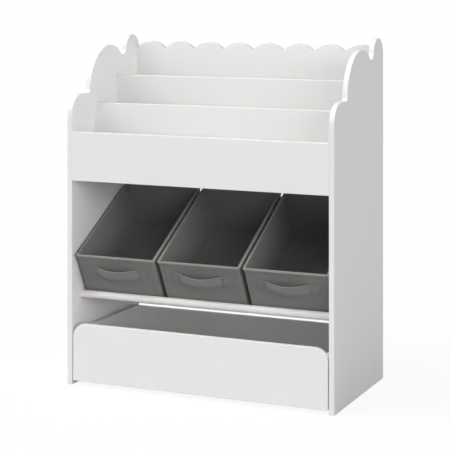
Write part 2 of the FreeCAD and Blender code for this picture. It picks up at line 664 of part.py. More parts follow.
# ---------------------------------------------------------------- all pieces
def pieces():
    """Every named piece of the organizer."""
    made = {"left_side_panel": side_panel(-1), "right_side_panel": side_panel(1),
            "back_panel": back_panel(), "rear_stretcher": rear_stretcher()}
    for tier in range(TIERS):
        made["tier_%d_board" % (tier + 1)] = tier_board(tier)
        made["tier_%d_floor" % (tier + 1)] = tier_floor(tier)
    for name in RAILS:
        made[name] = bin_rail(name)
    made["cam_nuts"] = Part.makeCompound(
        [cam_nut(joint, way, AXIS_Y) for joint, way in all_fixings(0)])
    made["cam_bolts"] = Part.makeCompound([cam_bolt(*place) for place in all_fixings(0)])
    made["dowels"] = Part.makeCompound([dowel(*place) for place in all_fixings(1)])
    for index in range(BIN_COUNT):
        made["bin_%d_shell" % (index + 1)] = bin_shell(index)
        made["bin_%d_insert" % (index + 1)] = bin_insert(index)
        made["bin_%d_handle" % (index + 1)] = bin_handle(index)
    made["drawer_front"] = drawer_front()
    made["drawer_left_side"] = drawer_side(-1)
    made["drawer_right_side"] = drawer_side(1)
    made["drawer_back"] = drawer_back()
    made["drawer_base"] = drawer_base()
    made["drawer_cam_nuts"] = Part.makeCompound(
        [cam_nut(drawer_cam_joint(side), -AXIS_Y, AXIS_X * side) for side in (-1, 1)])
    made["drawer_cam_bolts"] = Part.makeCompound(
        [cam_bolt(drawer_cam_joint(side), -AXIS_Y) for side in (-1, 1)])
    made["drawer_dowels"] = Part.makeCompound(
        [dowel(joint, -AXIS_Y) for side in (-1, 1) for joint in drawer_dowel_joints(side)])
    made["drawer_side_screws"] = Part.makeCompound(
        [pan_screw(seat, AXIS_X * -side, SIDE_SCREW_LENGTH)
         for side in (-1, 1) for seat in side_screw_seats(side)])
    made["drawer_base_screws"] = Part.makeCompound(
        [pan_screw(seat, AXIS_Z, BASE_SCREW_LENGTH) for seat in all_base_screws()])
    under_plate = BRACKET_TOP - BRACKET_STEEL
    made["caster_screws"] = Part.makeCompound(
        [pan_screw(V(x, y, under_plate), AXIS_Z, CASTER_SCREW_LENGTH)
         for x, y in caster_screw_places()])
    for corner in CASTERS:
        made["caster_bracket_" + corner] = caster_bracket(corner)
        made["caster_axle_" + corner] = caster_axle(corner)
        made["caster_wheel_" + corner] = caster_wheel(corner)
    return made


def main():
    """Move each piece to the common origin and write it."""
    os.makedirs("parts", exist_ok=True)
    for name, shape in pieces().items():
        shape.translate(V(0, -DEPTH / 2, 0))
        shape.exportStep("parts/%s.step" % name)
        box = shape.BoundBox
        print("%-28s %2d solids  valid %s  x %7.1f %7.1f  y %7.1f %7.1f  z %6.1f %6.1f" % (
            name, len(shape.Solids), shape.isValid(), box.XMin, box.XMax, box.YMin, box.YMax,
            box.ZMin, box.ZMax))


main()
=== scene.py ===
"""Toy storage organizer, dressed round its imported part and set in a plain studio.

The file is laid out as an add-on and is run as a script. All sizes are in metres, in the frame of
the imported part: X along the width, Y from the open front to the back, Z up from the floor.
"""

import json
import math

import bmesh
import bpy
import numpy as np
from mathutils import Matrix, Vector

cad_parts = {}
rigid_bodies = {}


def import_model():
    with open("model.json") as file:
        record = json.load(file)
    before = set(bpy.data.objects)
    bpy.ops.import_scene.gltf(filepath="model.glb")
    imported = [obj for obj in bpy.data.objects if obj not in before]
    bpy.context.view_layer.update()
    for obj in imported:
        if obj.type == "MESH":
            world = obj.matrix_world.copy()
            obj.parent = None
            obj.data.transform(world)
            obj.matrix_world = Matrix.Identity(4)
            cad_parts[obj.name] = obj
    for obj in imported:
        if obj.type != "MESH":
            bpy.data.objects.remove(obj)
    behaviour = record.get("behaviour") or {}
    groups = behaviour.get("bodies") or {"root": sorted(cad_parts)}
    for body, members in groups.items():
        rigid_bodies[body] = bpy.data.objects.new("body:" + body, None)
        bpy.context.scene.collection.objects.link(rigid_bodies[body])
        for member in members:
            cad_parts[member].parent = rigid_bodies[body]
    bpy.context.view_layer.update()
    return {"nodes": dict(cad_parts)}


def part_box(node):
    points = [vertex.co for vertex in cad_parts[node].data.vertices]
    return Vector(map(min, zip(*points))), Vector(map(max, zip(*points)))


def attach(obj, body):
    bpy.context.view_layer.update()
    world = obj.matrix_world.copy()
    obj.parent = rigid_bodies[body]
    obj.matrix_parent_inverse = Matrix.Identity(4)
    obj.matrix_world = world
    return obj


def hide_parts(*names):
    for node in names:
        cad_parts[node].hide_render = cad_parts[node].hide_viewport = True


bl_info = {
    "name": "Toy Storage Organizer",
    "version": (1, 0, 0),
    "blender": (4, 5, 0),
    "location": "3D View > Sidebar > Organizer",
    "description": "Boards, rails, fabric bins, drawer and casters of a children's organizer",
    "category": "Object",
}

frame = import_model()
MM = 0.001

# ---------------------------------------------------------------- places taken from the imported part
LEFT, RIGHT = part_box("left_side_panel"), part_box("right_side_panel")
INNER = RIGHT[0].x                       # inner face of the right side panel
FRONT, REAR = RIGHT[0].y, RIGHT[1].y     # the planes of the front and the back
TOP = RIGHT[1].z
TIER_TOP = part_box("tier_1_board")[1].z
BACK_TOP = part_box("back_panel")[1].z
SIDES = (-1, 1)
CORNERS = ("front_left", "front_right", "rear_left", "rear_right")
BINS = (1, 2, 3)
TIERS = (1, 2, 3)
RAILS = ("front_bin_rail", "lower_bin_rail", "upper_bin_rail")

# ---------------------------------------------------------------- sizes of the boards
FRONT_LOBE = (58 * MM, 104 * MM)         # radius, and rise above the first tier's board
MIDDLE_RISE = 236 * MM
MIDDLE_FRONT_RADIUS = 128 * MM
MIDDLE_REAR_RADIUS = 97 * MM
MIDDLE_PEAK_TO_BACK = 185 * MM
REAR_LOBE_RADIUS = 43 * MM
STEP_COVE = 8 * MM
NOTCH_COVE = 20 * MM
SCALLOPS = 8
SCALLOP_HEIGHT = 22 * MM
DRAWER_CORNER = 38 * MM
SHARP = 0.35 * MM                        # easing of a board's end that meets another board
EASING_STEPS = 4
ARC_STEP = 1.6 * MM
PANEL_FOOT = 1.0 * MM                    # rounding of a side panel's two lowest corners
DRAWER_FOOT = 1.5 * MM                   # the same of the drawer's face
BASE_EASING = 0.6 * MM
CREASE = 35                              # degrees past which an edge stays crisp
TURNED_CREASE = 50                       # the same on tubes, wheels and axles

# ---------------------------------------------------------------- sizes of the fixings
FIXING_INSET = 32 * MM
CAM_RADIUS = 7.5 * MM
CAM_DEPTH = 12 * MM
CAM_DISTANCE = 34 * MM
CAM_BOLT = (3.1 * MM, 11 * MM)           # radius and depth of its bore in a side panel
CAM_CHANNEL = 3.7 * MM
DOWEL = (4.1 * MM, 10 * MM, 20 * MM)     # radius, depth in the side panel, depth in the board
RAIL_SOCKET = (11.1 * MM, 6 * MM)
RAIL_WALL = 1.2 * MM
SCREW = (1.75 * MM, 3.5 * MM, 1.6 * MM)  # radius of the shank and of the head, height of the head
SCREW_BORE = 1.85 * MM
SIDE_SCREW = (32 * MM, 40 * MM)          # inset from a drawer side's edges, and length
BASE_SCREW = (25 * MM, 30 * MM)          # inset from the drawer's front and back, and length
BACK_SCREW_SPREAD = 180 * MM
CASTER_SCREW = (5.5 * MM, 9 * MM)        # inset from the bracket's ends, and length
BRACKET_STEEL = 1.5 * MM
SCREW_THREAD = (1.2 * MM, 0.55 * MM, 0.72)   # start under the seat, half pitch, share at the root
DRAWER_DOWEL_INSET = 26 * MM
CUT_PAST = 2 * MM                        # a cutter starts this far outside its face
POCKET_SLACK = 0.1 * MM                  # round a cam

# ---------------------------------------------------------------- sizes of the bins
TILT = math.radians(28.4)
BIN_SETBACK = 81.6 * MM                  # lowest corner behind the front plane
BIN_CORNER_LEVEL = 228.4 * MM
BIN_HEIGHT = 157 * MM                    # to the top of the rim
BIN_WALL = 5 * MM
BIN_CORNER = 5.5 * MM
BOTTOM_EASING = 3 * MM                   # of the lower edges
BOTTOM_COVE = 4 * MM                     # where the walls meet the bottom inside
INNER_SWELL = 0.6                        # share of the walls' swelling that shows inside
INSERT_GAP = 1.0 * MM                    # round the loose insert
THREAD = 0.7 * MM                        # width of a stitch on the walls
RIM_PROUD = 3 * MM                       # the rolled rim stands out from the walls
BIN_REAR_GAP = 28 * MM
BIN_LENGTH = (REAR - FRONT - BIN_SETBACK - BIN_REAR_GAP) / math.cos(TILT)
HANDLE_HALF_LOOP = 65 * MM
HANDLE_TAB = 27 * MM
HANDLE_BAND = 30 * MM
HANDLE_THICKNESS = 2.4 * MM
HANDLE_BULGE = 20.0 * MM
HANDLE_LEVEL = 107.5 * MM
STRAP_ARC = 1.15                         # power of the loop's arc
STRAP_CUP = 2.2 * MM                     # the loop's edges lie this much nearer the bin
STRAP_DROOP = 1.2 * MM                   # the loop's middle hangs this much lower
STRAP_SEAM = (2.6 * MM, 0.75 * MM)       # inset of the thread from the edges, and its width

# ---------------------------------------------------------------- the studio, fitted to the photo
CAMERA_PLACE = (1.7506, -4.0150, 1.1510)
CAMERA_TURN = math.radians(23.611)
CAMERA_LENS = (122.8, 36, -0.550)        # focal length and sensor in millimetres, vertical shift
FLOOR_REACH = 90
FLOOR_WHITE = 0.92                       # how far the floor is plain white to the camera
# azimuth from the front towards the right, and elevation, of each light in degrees
LOBES = {"left": (-60, 4), "high": (-60, 55), "right": (45, 4), "side": (80, 4), "back": (-130, 15)}


# ---------------------------------------------------------------- settings that a user would change
class OrganizerBoards(bpy.types.PropertyGroup):
    """Sizes and colours of the painted boards and rails."""
    easing: bpy.props.FloatProperty(
        name="Edge rounding", description="Radius of the boards' exposed edges",
        default=1.5 * MM, min=0.2 * MM, max=4 * MM, unit="LENGTH")
    colour: bpy.props.FloatVectorProperty(
        name="Board colour", description="Colour of the white foil",
        default=(0.83, 0.82, 0.812), min=0, max=1, subtype="COLOR")
    wear: bpy.props.FloatProperty(
        name="Edge wear", description="How far the boards' edges are rubbed",
        default=0.35, min=0, max=1, subtype="FACTOR")
    rail_colour: bpy.props.FloatVectorProperty(
        name="Rail colour", description="Colour of the rails' powder coat",
        default=(0.82, 0.80, 0.79), min=0, max=1, subtype="COLOR")


class OrganizerBins(bpy.types.PropertyGroup):
    """Sizes and colours of the fabric bins."""
    colour: bpy.props.FloatVectorProperty(
        name="Fabric colour", description="Colour of the grey cloth",
        default=(0.216, 0.212, 0.204), min=0, max=1, subtype="COLOR")
    thread: bpy.props.FloatVectorProperty(
        name="Thread colour", description="Colour of the sewing thread",
        default=(0.115, 0.114, 0.111), min=0, max=1, subtype="COLOR")
    pitch: bpy.props.FloatProperty(
        name="Weave pitch", description="Distance between two threads of the cloth",
        default=0.85 * MM, min=0.2 * MM, max=3 * MM, unit="LENGTH")
    fullness: bpy.props.FloatProperty(
        name="Wall fullness", description="How far the walls swell between their corners",
        default=1.0 * MM, min=0, max=3 * MM, unit="LENGTH")
    binding: bpy.props.FloatProperty(
        name="Rim height", description="Height of the rolled and bound rim",
        default=8.0 * MM, min=6 * MM, max=20 * MM, unit="LENGTH")
    stitch: bpy.props.FloatProperty(
        name="Stitch length", description="Distance from one stitch to the next",
        default=3.6 * MM, min=2 * MM, max=8 * MM, unit="LENGTH")


class OrganizerStudio(bpy.types.PropertyGroup):
    """Light and floor of the studio. The five lights are wide, soft lobes of the room."""
    left: bpy.props.FloatProperty(
        name="Left light", description="Strength of the low light from the left of the front",
        default=2.2, min=0, max=50)
    high: bpy.props.FloatProperty(
        name="High light", description="Strength of the high light from the left of the front",
        default=6.8, min=0, max=50)
    right: bpy.props.FloatProperty(
        name="Right light", description="Strength of the low light from the right of the front",
        default=5.0, min=0, max=50)
    side: bpy.props.FloatProperty(
        name="Side light", description="Strength of the light on the right side",
        default=2.6, min=0, max=50)
    back: bpy.props.FloatProperty(
        name="Back light", description="Strength of the light from the left behind",
        default=2.2, min=0, max=50)
    floor: bpy.props.FloatVectorProperty(
        name="Floor colour", description="Colour of the floor",
        default=(0.88, 0.88, 0.88), min=0, max=1, subtype="COLOR")
    floor_light: bpy.props.FloatProperty(
        name="Floor reflection", description="How much of the light the floor sends back up",
        default=0.38, min=0, max=1, subtype="FACTOR")


# ---------------------------------------------------------------- meshes from whole arrays
class Surface:
    """Grids of points gathered into one mesh, with a map in metres for patterns that follow it."""

    def __init__(self):
        self.points, self.faces, self.maps, self.edges, self.count = [], [], [], [], 0

    def grid(self, points, across=None, along=None, closed=False, edge=0.0):
        """Quads between the neighbours of points[row, column]. across and along are the map, by
        column and by row, closed joins the last column to the first, and edge is how far each
        point is open to rubbing."""
        rows, columns = points.shape[:2]
        spans = columns if closed else columns - 1
        row = np.arange(rows - 1)[:, None]
        near = np.arange(spans)[None, :]
        far = (near + 1) % columns
        quads = np.stack([row * columns + near, row * columns + far,
                          (row + 1) * columns + far, (row + 1) * columns + near], -1)
        self.faces.extend((self.count + quads).reshape(-1, 4).tolist())
        across = np.arange(spans + 1) * MM if across is None else np.asarray(across)
        along = np.arange(rows) * MM if along is None else np.asarray(along)
        u = np.broadcast_to(across, (rows, spans + 1))
        v = np.broadcast_to(along[:, None] if along.ndim == 1 else along, (rows, spans + 1))
        uv = np.stack([u, v], -1)
        self.maps.append(np.stack([uv[:-1, :-1], uv[:-1, 1:], uv[1:, 1:], uv[1:, :-1]], -2).reshape(-1, 2))
        self.points.append(points.reshape(-1, 3))
        self.edges.append(np.broadcast_to(edge, (rows, columns)).ravel())
        first, self.count = self.count, self.count + rows * columns
        return first

    def cap(self, ring, flat):
        """One face over points that are already placed, with its map."""
        self.faces.append([int(index) for index in ring])
        self.maps.append(np.asarray(flat))

    def mesh(self, name):
        """The closed mesh: near points merged, faces turned outwards, smooth."""
        made = bpy.data.meshes.new(name)
        made.from_pydata(np.concatenate(self.points).tolist(), [], self.faces, shade_flat=False)
        layer = made.uv_layers.new(name="cloth")
        layer.data.foreach_set("uv", np.concatenate(self.maps).astype(np.float32).ravel())
        edge = made.attributes.new("edge", "FLOAT", "POINT")
        edge.data.foreach_set("value", np.concatenate(self.edges).astype(np.float32))
        work = bmesh.new()
        work.from_mesh(made)
        bmesh.ops.remove_doubles(work, verts=work.verts, dist=1e-6)
        bmesh.ops.recalc_face_normals(work, faces=work.faces)
        work.to_mesh(made)
        work.free()
        return made


def place(mesh, name, material, body, nodes=(), sharp=None):
    """Makes a piece of the object from a finished mesh. sharp is the angle in degrees past which
    an edge stays crisp, and the faces' normals are then weighted by area."""
    mesh.name = name
    mesh.materials.clear()
    mesh.materials.append(material)
    piece = bpy.data.objects.new(name, mesh)
    bpy.context.scene.collection.objects.link(piece)
    if sharp is not None:
        mesh.set_sharp_from_angle(angle=math.radians(sharp))
        weighted = piece.modifiers.new("Even faces", "WEIGHTED_NORMAL")
        weighted.keep_sharp = True
    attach(piece, body)
    if nodes:
        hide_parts(*nodes)
    return piece


def arc(centre, radius, start, end):
    """Points at centre + radius (cos a, sin a), about every ARC_STEP, for a in degrees."""
    count = max(5, int(math.radians(abs(end - start)) * radius / ARC_STEP))
    a = np.radians(np.linspace(start, end, count + 1))
    return np.stack([centre[0] + radius * np.cos(a), centre[1] + radius * np.sin(a)], -1)


def joined(*runs):
    """Runs of points as one closed outline, without points that repeat."""
    points = np.concatenate(runs)
    apart = np.linalg.norm(points - np.roll(points, 1, 0), axis=1) > 1e-7
    return points[apart]


def outward(outline):
    """Unit normals of a closed outline: the tangent through both neighbours, turned by a right
    angle to the side that the signed area calls outside."""
    following = np.roll(outline, -1, 0)
    ahead = following - outline
    ahead /= np.linalg.norm(ahead, axis=1, keepdims=True)
    tangent = ahead + np.roll(ahead, 1, 0)
    tangent /= np.linalg.norm(tangent, axis=1, keepdims=True)
    area = np.sum(outline[:, 0] * following[:, 1] - following[:, 0] * outline[:, 1])
    return np.stack([tangent[:, 1], -tangent[:, 0]], -1) * np.sign(area)


def rounded_rectangle(low, high, radii, step=None):
    """The outline of a rectangle, counter-clockwise from its lower left corner, with a radius for
    each corner. step divides the straight sides."""
    centres = [(low[0] + radii[0], low[1] + radii[0]), (high[0] - radii[1], low[1] + radii[1]),
               (high[0] - radii[2], high[1] - radii[2]), (low[0] + radii[3], high[1] - radii[3])]
    runs = []
    for number in range(4):
        turn = arc(centres[number], radii[number], 180 + 90 * number, 270 + 90 * number)
        runs.append(turn)
        if step:
            following = (number + 1) % 4
            angle = math.radians(270 + 90 * number)
            end = np.array(centres[following]) + radii[following] * np.array(
                [math.cos(angle), math.sin(angle)])
            count = int(np.linalg.norm(end - turn[-1]) / step) + 1
            runs.append(turn[-1] + (end - turn[-1]) * np.linspace(0, 1, count + 1)[1:-1, None])
    return joined(*runs)


def run_length(points):
    """Distance along a closed outline to each point, and last to the first point again."""
    steps = np.linalg.norm(np.roll(points, -1, 0) - points, axis=1)
    return np.concatenate([[0], np.cumsum(steps)])


def running(points):
    """Distance along an open run of points to each of them."""
    return np.concatenate([[0], np.cumsum(np.linalg.norm(np.diff(points, axis=0), axis=1))])


def flat_xz(u, v, w):
    """A board that stands across the organizer: outline in X and Z, thickness along Y."""
    return np.stack([u, w, v], -1)


def flat_yz(u, v, w):
    """A side panel: outline in Y and Z, thickness along X."""
    return np.stack([w, u, v], -1)


def flat_xy(u, v, w):
    """A level board: outline in X and Y, thickness along Z."""
    return np.stack([u, v, w], -1)


def eased_board(outline, easing, low, high, turn):
    """A board between two faces. Each ring is the outline drawn in by e (1 - sin t), at a depth
    of e (1 - cos t) under the face, for t from 0 to 90 degrees and an easing e at each point."""
    t = np.linspace(0, math.pi / 2, EASING_STEPS + 1)[:, None]
    normals = outward(outline)
    e = np.broadcast_to(easing(normals) if callable(easing) else easing, len(outline))
    drawn = outline - normals * (e * (1 - np.sin(t)))[..., None]
    depth = e * (1 - np.cos(t))
    rings = np.concatenate([drawn, drawn[::-1]])
    across = np.concatenate([high - depth, (low + depth)[::-1]])
    worn = np.sin(np.linspace(0, 0.88 * math.pi, EASING_STEPS + 1))[:, None]
    edge = np.concatenate([worn, worn[::-1]])
    surface = Surface()
    lengths = run_length(outline)
    first = surface.grid(turn(rings[..., 0], rings[..., 1], across), lengths,
                         rings[0, 0, 1] + np.concatenate([depth[:, 0], high - low - depth[::-1, 0]]),
                         closed=True, edge=edge)
    count = len(outline)
    surface.cap(first + np.arange(count), drawn[0])
    surface.cap(first + (2 * EASING_STEPS + 1) * count + np.arange(count)[::-1], drawn[0][::-1])
    return surface.mesh("board")


def eased_where(way, exposed):
    """An easing that is full where the outline faces a way and sharp at the ends that are joined."""
    def easing(normals):
        return SHARP + (exposed - SHARP) * np.clip(normals @ np.array(way), 0, 1) ** 2
    return easing


def turned(surface, profile, centre, axis, segments=40):
    """A profile of (along, radius) points carried round an axis: X is 0, Y is 1 and Z is 2."""
    profile = np.asarray(profile, float)
    a = np.linspace(0, 2 * math.pi, segments, endpoint=False)
    points = np.zeros((len(profile), segments, 3))
    points[..., axis] = profile[:, :1]
    points[..., (axis + 1) % 3] = profile[:, 1:] * np.cos(a)
    points[..., (axis + 2) % 3] = profile[:, 1:] * np.sin(a)
    around = np.linspace(0, 2 * math.pi, segments + 1) * profile[:, 1].max()
    surface.grid(points + np.array(centre), around, running(profile), closed=True)


def cut_away(mesh, cutters):
    """The mesh less each cutter's mesh, one after the other."""
    made = [bpy.data.objects.new("work", item) for item in (mesh, *cutters)]
    for item in made:
        bpy.context.scene.collection.objects.link(item)
    for cutter in made[1:]:
        cut = made[0].modifiers.new("Cut", "BOOLEAN")
        cut.operation = "DIFFERENCE"
        cut.solver = "EXACT"
        cut.object = cutter
    bpy.context.view_layer.update()
    result = bpy.data.meshes.new_from_object(
        made[0].evaluated_get(bpy.context.evaluated_depsgraph_get()))
    for item in made:
        bpy.data.objects.remove(item)
    return result


def bores(places):
    """Plain cutters for bores. A place is (start, axis, radius, signed depth)."""
    surface = Surface()
    for start, axis, radius, depth in places:
        turned(surface, [(0, 0), (0, radius), (depth, radius), (depth, 0)], start, axis, 32)
    return surface.mesh("bores")


def repeated(master, places):
    """Copies of a mesh as one mesh: each point p becomes R p + t for every place (R, t)."""
    points = np.zeros(len(master.vertices) * 3)
    master.vertices.foreach_get("co", points)
    points = points.reshape(-1, 3)
    faces = [list(face.vertices) for face in master.polygons]
    placed = np.concatenate([points @ np.array(turn).T + np.array(at) for turn, at in places])
    count = len(points)
    made = bpy.data.meshes.new("repeated")
    made.from_pydata(placed.tolist(), [], [[index + number * count for index in face]
                                          for number in range(len(places)) for face in faces],
                     shade_flat=False)
    return made


# ---------------------------------------------------------------- shader graphs
class Graph:
    """Places shader nodes in a tree. An input given as a socket is linked, any other is set."""

    def __init__(self, tree):
        self.tree = tree

    def add(self, kind, inputs=None, **settings):
        """A node of a kind with its settings and inputs."""
        node = self.tree.nodes.new(kind)
        for name, value in settings.items():
            setattr(node, name, value)
        for name, value in (inputs or {}).items():
            self.put(node.inputs[name], value)
        return node

    def put(self, socket, value):
        """Links a socket or sets its value."""
        if isinstance(value, bpy.types.NodeSocket):
            self.tree.links.new(value, socket)
        else:
            socket.default_value = value

    def math(self, operation, first, second=0.0, third=0.0):
        """The result of one arithmetic step."""
        return self.add("ShaderNodeMath", {0: first, 1: second, 2: third},
                        operation=operation).outputs[0]

    def scale(self, vector, by):
        """A vector times a vector."""
        return self.add("ShaderNodeVectorMath", {0: vector, 1: by}, operation="MULTIPLY").outputs[0]

    def ramp(self, value, low, high, to_low=0.0, to_high=1.0):
        """A value carried from one span to another, held at both ends and eased."""
        return self.add("ShaderNodeMapRange", {0: value, 1: low, 2: high, 3: to_low, 4: to_high},
                        interpolation_type="SMOOTHSTEP").outputs[0]

    def mix(self, factor, first, second):
        """A colour between two colours."""
        return self.add("ShaderNodeMix", {0: factor, 6: first, 7: second},
                        data_type="RGBA").outputs[2]

    def tint(self, colour, by):
        """A constant colour times a brightness."""
        return self.add("ShaderNodeVectorMath", {0: colour[:3], "Scale": by},
                        operation="SCALE").outputs[0]

    def noise(self, vector, scale, detail=3.0, roughness=0.5):
        """Soft noise from 0 to 1 with its scale in patches per metre."""
        return self.add("ShaderNodeTexNoise", {"Vector": vector, "Scale": scale, "Detail": detail,
                                               "Roughness": roughness}).outputs["Fac"]

    def use(self, group, inputs):
        """A shared group with its inputs; the result is its outputs."""
        node = self.tree.nodes.new("ShaderNodeGroup")
        node.node_tree = group
        for name, value in inputs.items():
            self.put(node.inputs[name], value)
        return node.outputs

    def bump(self, height, strength, distance):
        """The normal that a height gives."""
        return self.add("ShaderNodeBump", {"Height": height, "Strength": strength,
                                           "Distance": distance}).outputs[0]


def group(name, inputs, outputs, fill):
    """A shared node group, built once. fill takes the graph and its inputs and gives its outputs."""
    tree = bpy.data.node_groups.get(name)
    if tree:
        return tree
    tree = bpy.data.node_groups.new(name, "ShaderNodeTree")
    for label, kind, value in inputs:
        socket = tree.interface.new_socket(label, in_out="INPUT", socket_type="NodeSocket" + kind)
        if value is not None:
            socket.default_value = value
    for label, kind in outputs:
        tree.interface.new_socket(label, in_out="OUTPUT", socket_type="NodeSocket" + kind)
    entry = tree.nodes.new("NodeGroupInput")
    leave = tree.nodes.new("NodeGroupOutput")
    for label, socket in fill(Graph(tree), entry.outputs).items():
        tree.links.new(socket, leave.inputs[label])
    return tree


def mottling():
    """A brightness near 1 that drifts in broad soft patches."""
    def fill(graph, given):
        broad = graph.noise(given["Vector"], 5.0, 2.0)
        fine = graph.noise(given["Vector"], 70.0, 4.0, 0.6)
        both = graph.math("MULTIPLY_ADD", fine, 0.35, graph.math("MULTIPLY", broad, 0.65))
        spread = graph.math("MULTIPLY", graph.math("SUBTRACT", both, 0.5), given["Amount"])
        return {"Brightness": graph.math("ADD", spread, 1.0)}
    return group("Mottling", [("Vector", "Vector", None), ("Amount", "Float", 0.1)],
                 [("Brightness", "Float")], fill)


def edge_rub():
    """Where an edge is rubbed: the piece's edge attribute, broken up by noise."""
    def fill(graph, given):
        edge = graph.add("ShaderNodeAttribute", attribute_name="edge").outputs["Fac"]
        broken = graph.ramp(graph.noise(given["Vector"], 55.0, 5.0, 0.65), 0.42, 0.72)
        long_runs = graph.ramp(graph.noise(given["Vector"], 6.0, 2.0), 0.35, 0.7)
        mask = graph.math("MULTIPLY", graph.math("MULTIPLY", edge, broken), long_runs)
        return {"Mask": graph.math("MULTIPLY", mask, given["Amount"])}
    return group("Edge rub", [("Vector", "Vector", None), ("Amount", "Float", 0.5)],
                 [("Mask", "Float")], fill)


def dust():
    """Fine dust that lies on surfaces that face upwards, in specks and thin patches."""
    def fill(graph, given):
        up = graph.add("ShaderNodeSeparateXYZ", {0: graph.add("ShaderNodeNewGeometry").outputs["Normal"]})
        level = graph.ramp(up.outputs["Z"], 0.35, 0.95)
        patches = graph.ramp(graph.noise(given["Vector"], 14.0, 4.0, 0.6), 0.35, 0.8)
        specks = graph.ramp(graph.noise(given["Vector"], 1400.0, 2.0), 0.62, 0.74)
        both = graph.math("MAXIMUM", graph.math("MULTIPLY", patches, 0.5), specks)
        mask = graph.math("MULTIPLY", graph.math("MULTIPLY", both, level), given["Amount"])
        return {"Mask": mask}
    return group("Dust", [("Vector", "Vector", None), ("Amount", "Float", 0.3)],
                 [("Mask", "Float")], fill)


def orange_peel():
    """The fine pebbled height of foil and powder coat."""
    def fill(graph, given):
        coarse = graph.noise(given["Vector"], given["Scale"], 2.0)
        fine = graph.noise(given["Vector"], graph.math("MULTIPLY", given["Scale"], 4.0), 1.0)
        return {"Height": graph.math("MULTIPLY_ADD", fine, 0.3, coarse)}
    return group("Orange peel", [("Vector", "Vector", None), ("Scale", "Float", 500.0)],
                 [("Height", "Float")], fill)


def plain_weave():
    """Cloth of crossing threads. With a = sin(pi u) and b = sin(pi v), the warp lies on top where
    a b is above zero, and each thread's height is the size of its own sine. Every thread has a
    thickness and a tone of its own, from noise drawn out along it. The Shade output is that tone
    times painted shade, which darkens the cloth where the threads lie low."""
    def fill(graph, given):
        bent = graph.add("ShaderNodeTexNoise", {"Vector": given["Vector"], "Scale": 60.0, "Detail": 1.0})
        shift = graph.add("ShaderNodeVectorMath", {0: bent.outputs["Color"], 1: (0.5, 0.5, 0.5)},
                          operation="SUBTRACT").outputs[0]
        eased = graph.add("ShaderNodeVectorMath", {0: shift, "Scale": 0.0012}, operation="SCALE").outputs[0]
        moved = graph.add("ShaderNodeVectorMath", {0: given["Vector"], 1: eased}, operation="ADD").outputs[0]
        turns = graph.add("ShaderNodeVectorMath", {0: moved, "Scale": graph.math(
            "DIVIDE", math.pi, given["Pitch"])}, operation="SCALE").outputs[0]
        parts = graph.add("ShaderNodeSeparateXYZ", {0: turns})
        a = graph.math("SINE", parts.outputs[0])
        b = graph.math("SINE", parts.outputs[1])
        over = graph.ramp(graph.math("MULTIPLY", a, b), -0.25, 0.25)
        warp = graph.math("POWER", graph.math("ABSOLUTE", a), 0.7)
        weft = graph.math("POWER", graph.math("ABSOLUTE", b), 0.7)
        height = graph.add("ShaderNodeMix", {0: over, 2: weft, 3: warp}, data_type="FLOAT").outputs[0]
        warp_shade = graph.noise(graph.scale(given["Vector"], (1100.0, 55.0, 1.0)), 1.0, 2.0)
        weft_shade = graph.noise(graph.scale(given["Vector"], (55.0, 1100.0, 1.0)), 1.0, 2.0)
        slub = graph.add("ShaderNodeMix", {0: over, 2: weft_shade, 3: warp_shade},
                         data_type="FLOAT").outputs[0]
        fuzz = graph.noise(given["Vector"], 5200.0, 2.0, 0.7)
        raised = graph.math("ADD", graph.math("MULTIPLY_ADD", slub, 0.5, height),
                            graph.math("MULTIPLY", fuzz, 0.25))
        # painted shade: the ramp on height darkens the cloth where the threads lie low, in the weave's
        # hollows; the slub term is each thread's own tone
        shade = graph.math("MULTIPLY_ADD", graph.math("SUBTRACT", slub, 0.5), given["Heather"],
                           graph.ramp(height, 0.0, 0.8, 0.80, 1.04))
        return {"Height": raised, "Shade": shade}
    return group("Plain weave", [("Vector", "Vector", None), ("Pitch", "Float", 0.001),
                                 ("Heather", "Float", 0.4)],
                 [("Height", "Float"), ("Shade", "Float")], fill)


def thread_twist():
    """The slanted ply of a sewing thread, as height, and as painted shade that darkens the grooves between
    the plies.
    """
    def fill(graph, given):
        parts = graph.add("ShaderNodeSeparateXYZ", {0: given["Vector"]})
        slant = graph.math("ADD", graph.math("MULTIPLY", parts.outputs[0], 5200.0),
                           graph.math("MULTIPLY", parts.outputs[1], 5200.0))
        ply = graph.math("ABSOLUTE", graph.math("SINE", slant))
        # painted shade: the thread is darker in the grooves between its plies
        return {"Height": ply, "Shade": graph.ramp(ply, 0.0, 0.7, 0.7, 1.1)}
    return group("Thread twist", [("Vector", "Vector", None)],
                 [("Height", "Float"), ("Shade", "Float")], fill)


def drawn_lines():
    """Fine lines left by drawing or rolling metal along one direction."""
    def fill(graph, given):
        lines = graph.noise(graph.scale(given["Vector"], given["Stretch"]), 1.0, 4.0, 0.6)
        blotch = graph.noise(given["Vector"], 160.0, 3.0, 0.6)
        return {"Height": lines, "Shade": graph.math("MULTIPLY_ADD", lines, 0.25, graph.math(
            "MULTIPLY_ADD", blotch, 0.35, 0.70))}
    return group("Drawn lines", [("Vector", "Vector", None), ("Stretch", "Vector", (60.0, 4000.0, 4000.0))],
                 [("Height", "Float"), ("Shade", "Float")], fill)


def new_material(name, build, **constants):
    """A material whose own Principled shader has constants on its sockets and links from build."""
    made = bpy.data.materials.get(name)
    if made:
        return made
    made = bpy.data.materials.new(name)
    made.use_nodes = True
    shader = made.node_tree.nodes["Principled BSDF"]
    for socket, value in constants.items():
        shader.inputs[socket.replace("_", " ")].default_value = value
    for socket, value in build(Graph(made.node_tree)).items():
        made.node_tree.links.new(value, shader.inputs[socket])
    return made


def rgba(colour, by=1.0):
    """A colour property as four numbers, brightened."""
    return tuple(min(1.0, part * by) for part in colour[:3]) + (1.0,)


def object_place(graph):
    """Where a point lies on the piece."""
    return graph.add("ShaderNodeTexCoord").outputs["Object"]


def cloth_place(graph):
    """Where a point lies in the cloth, from the piece's own map."""
    return graph.add("ShaderNodeUVMap", uv_map="cloth").outputs["UV"]


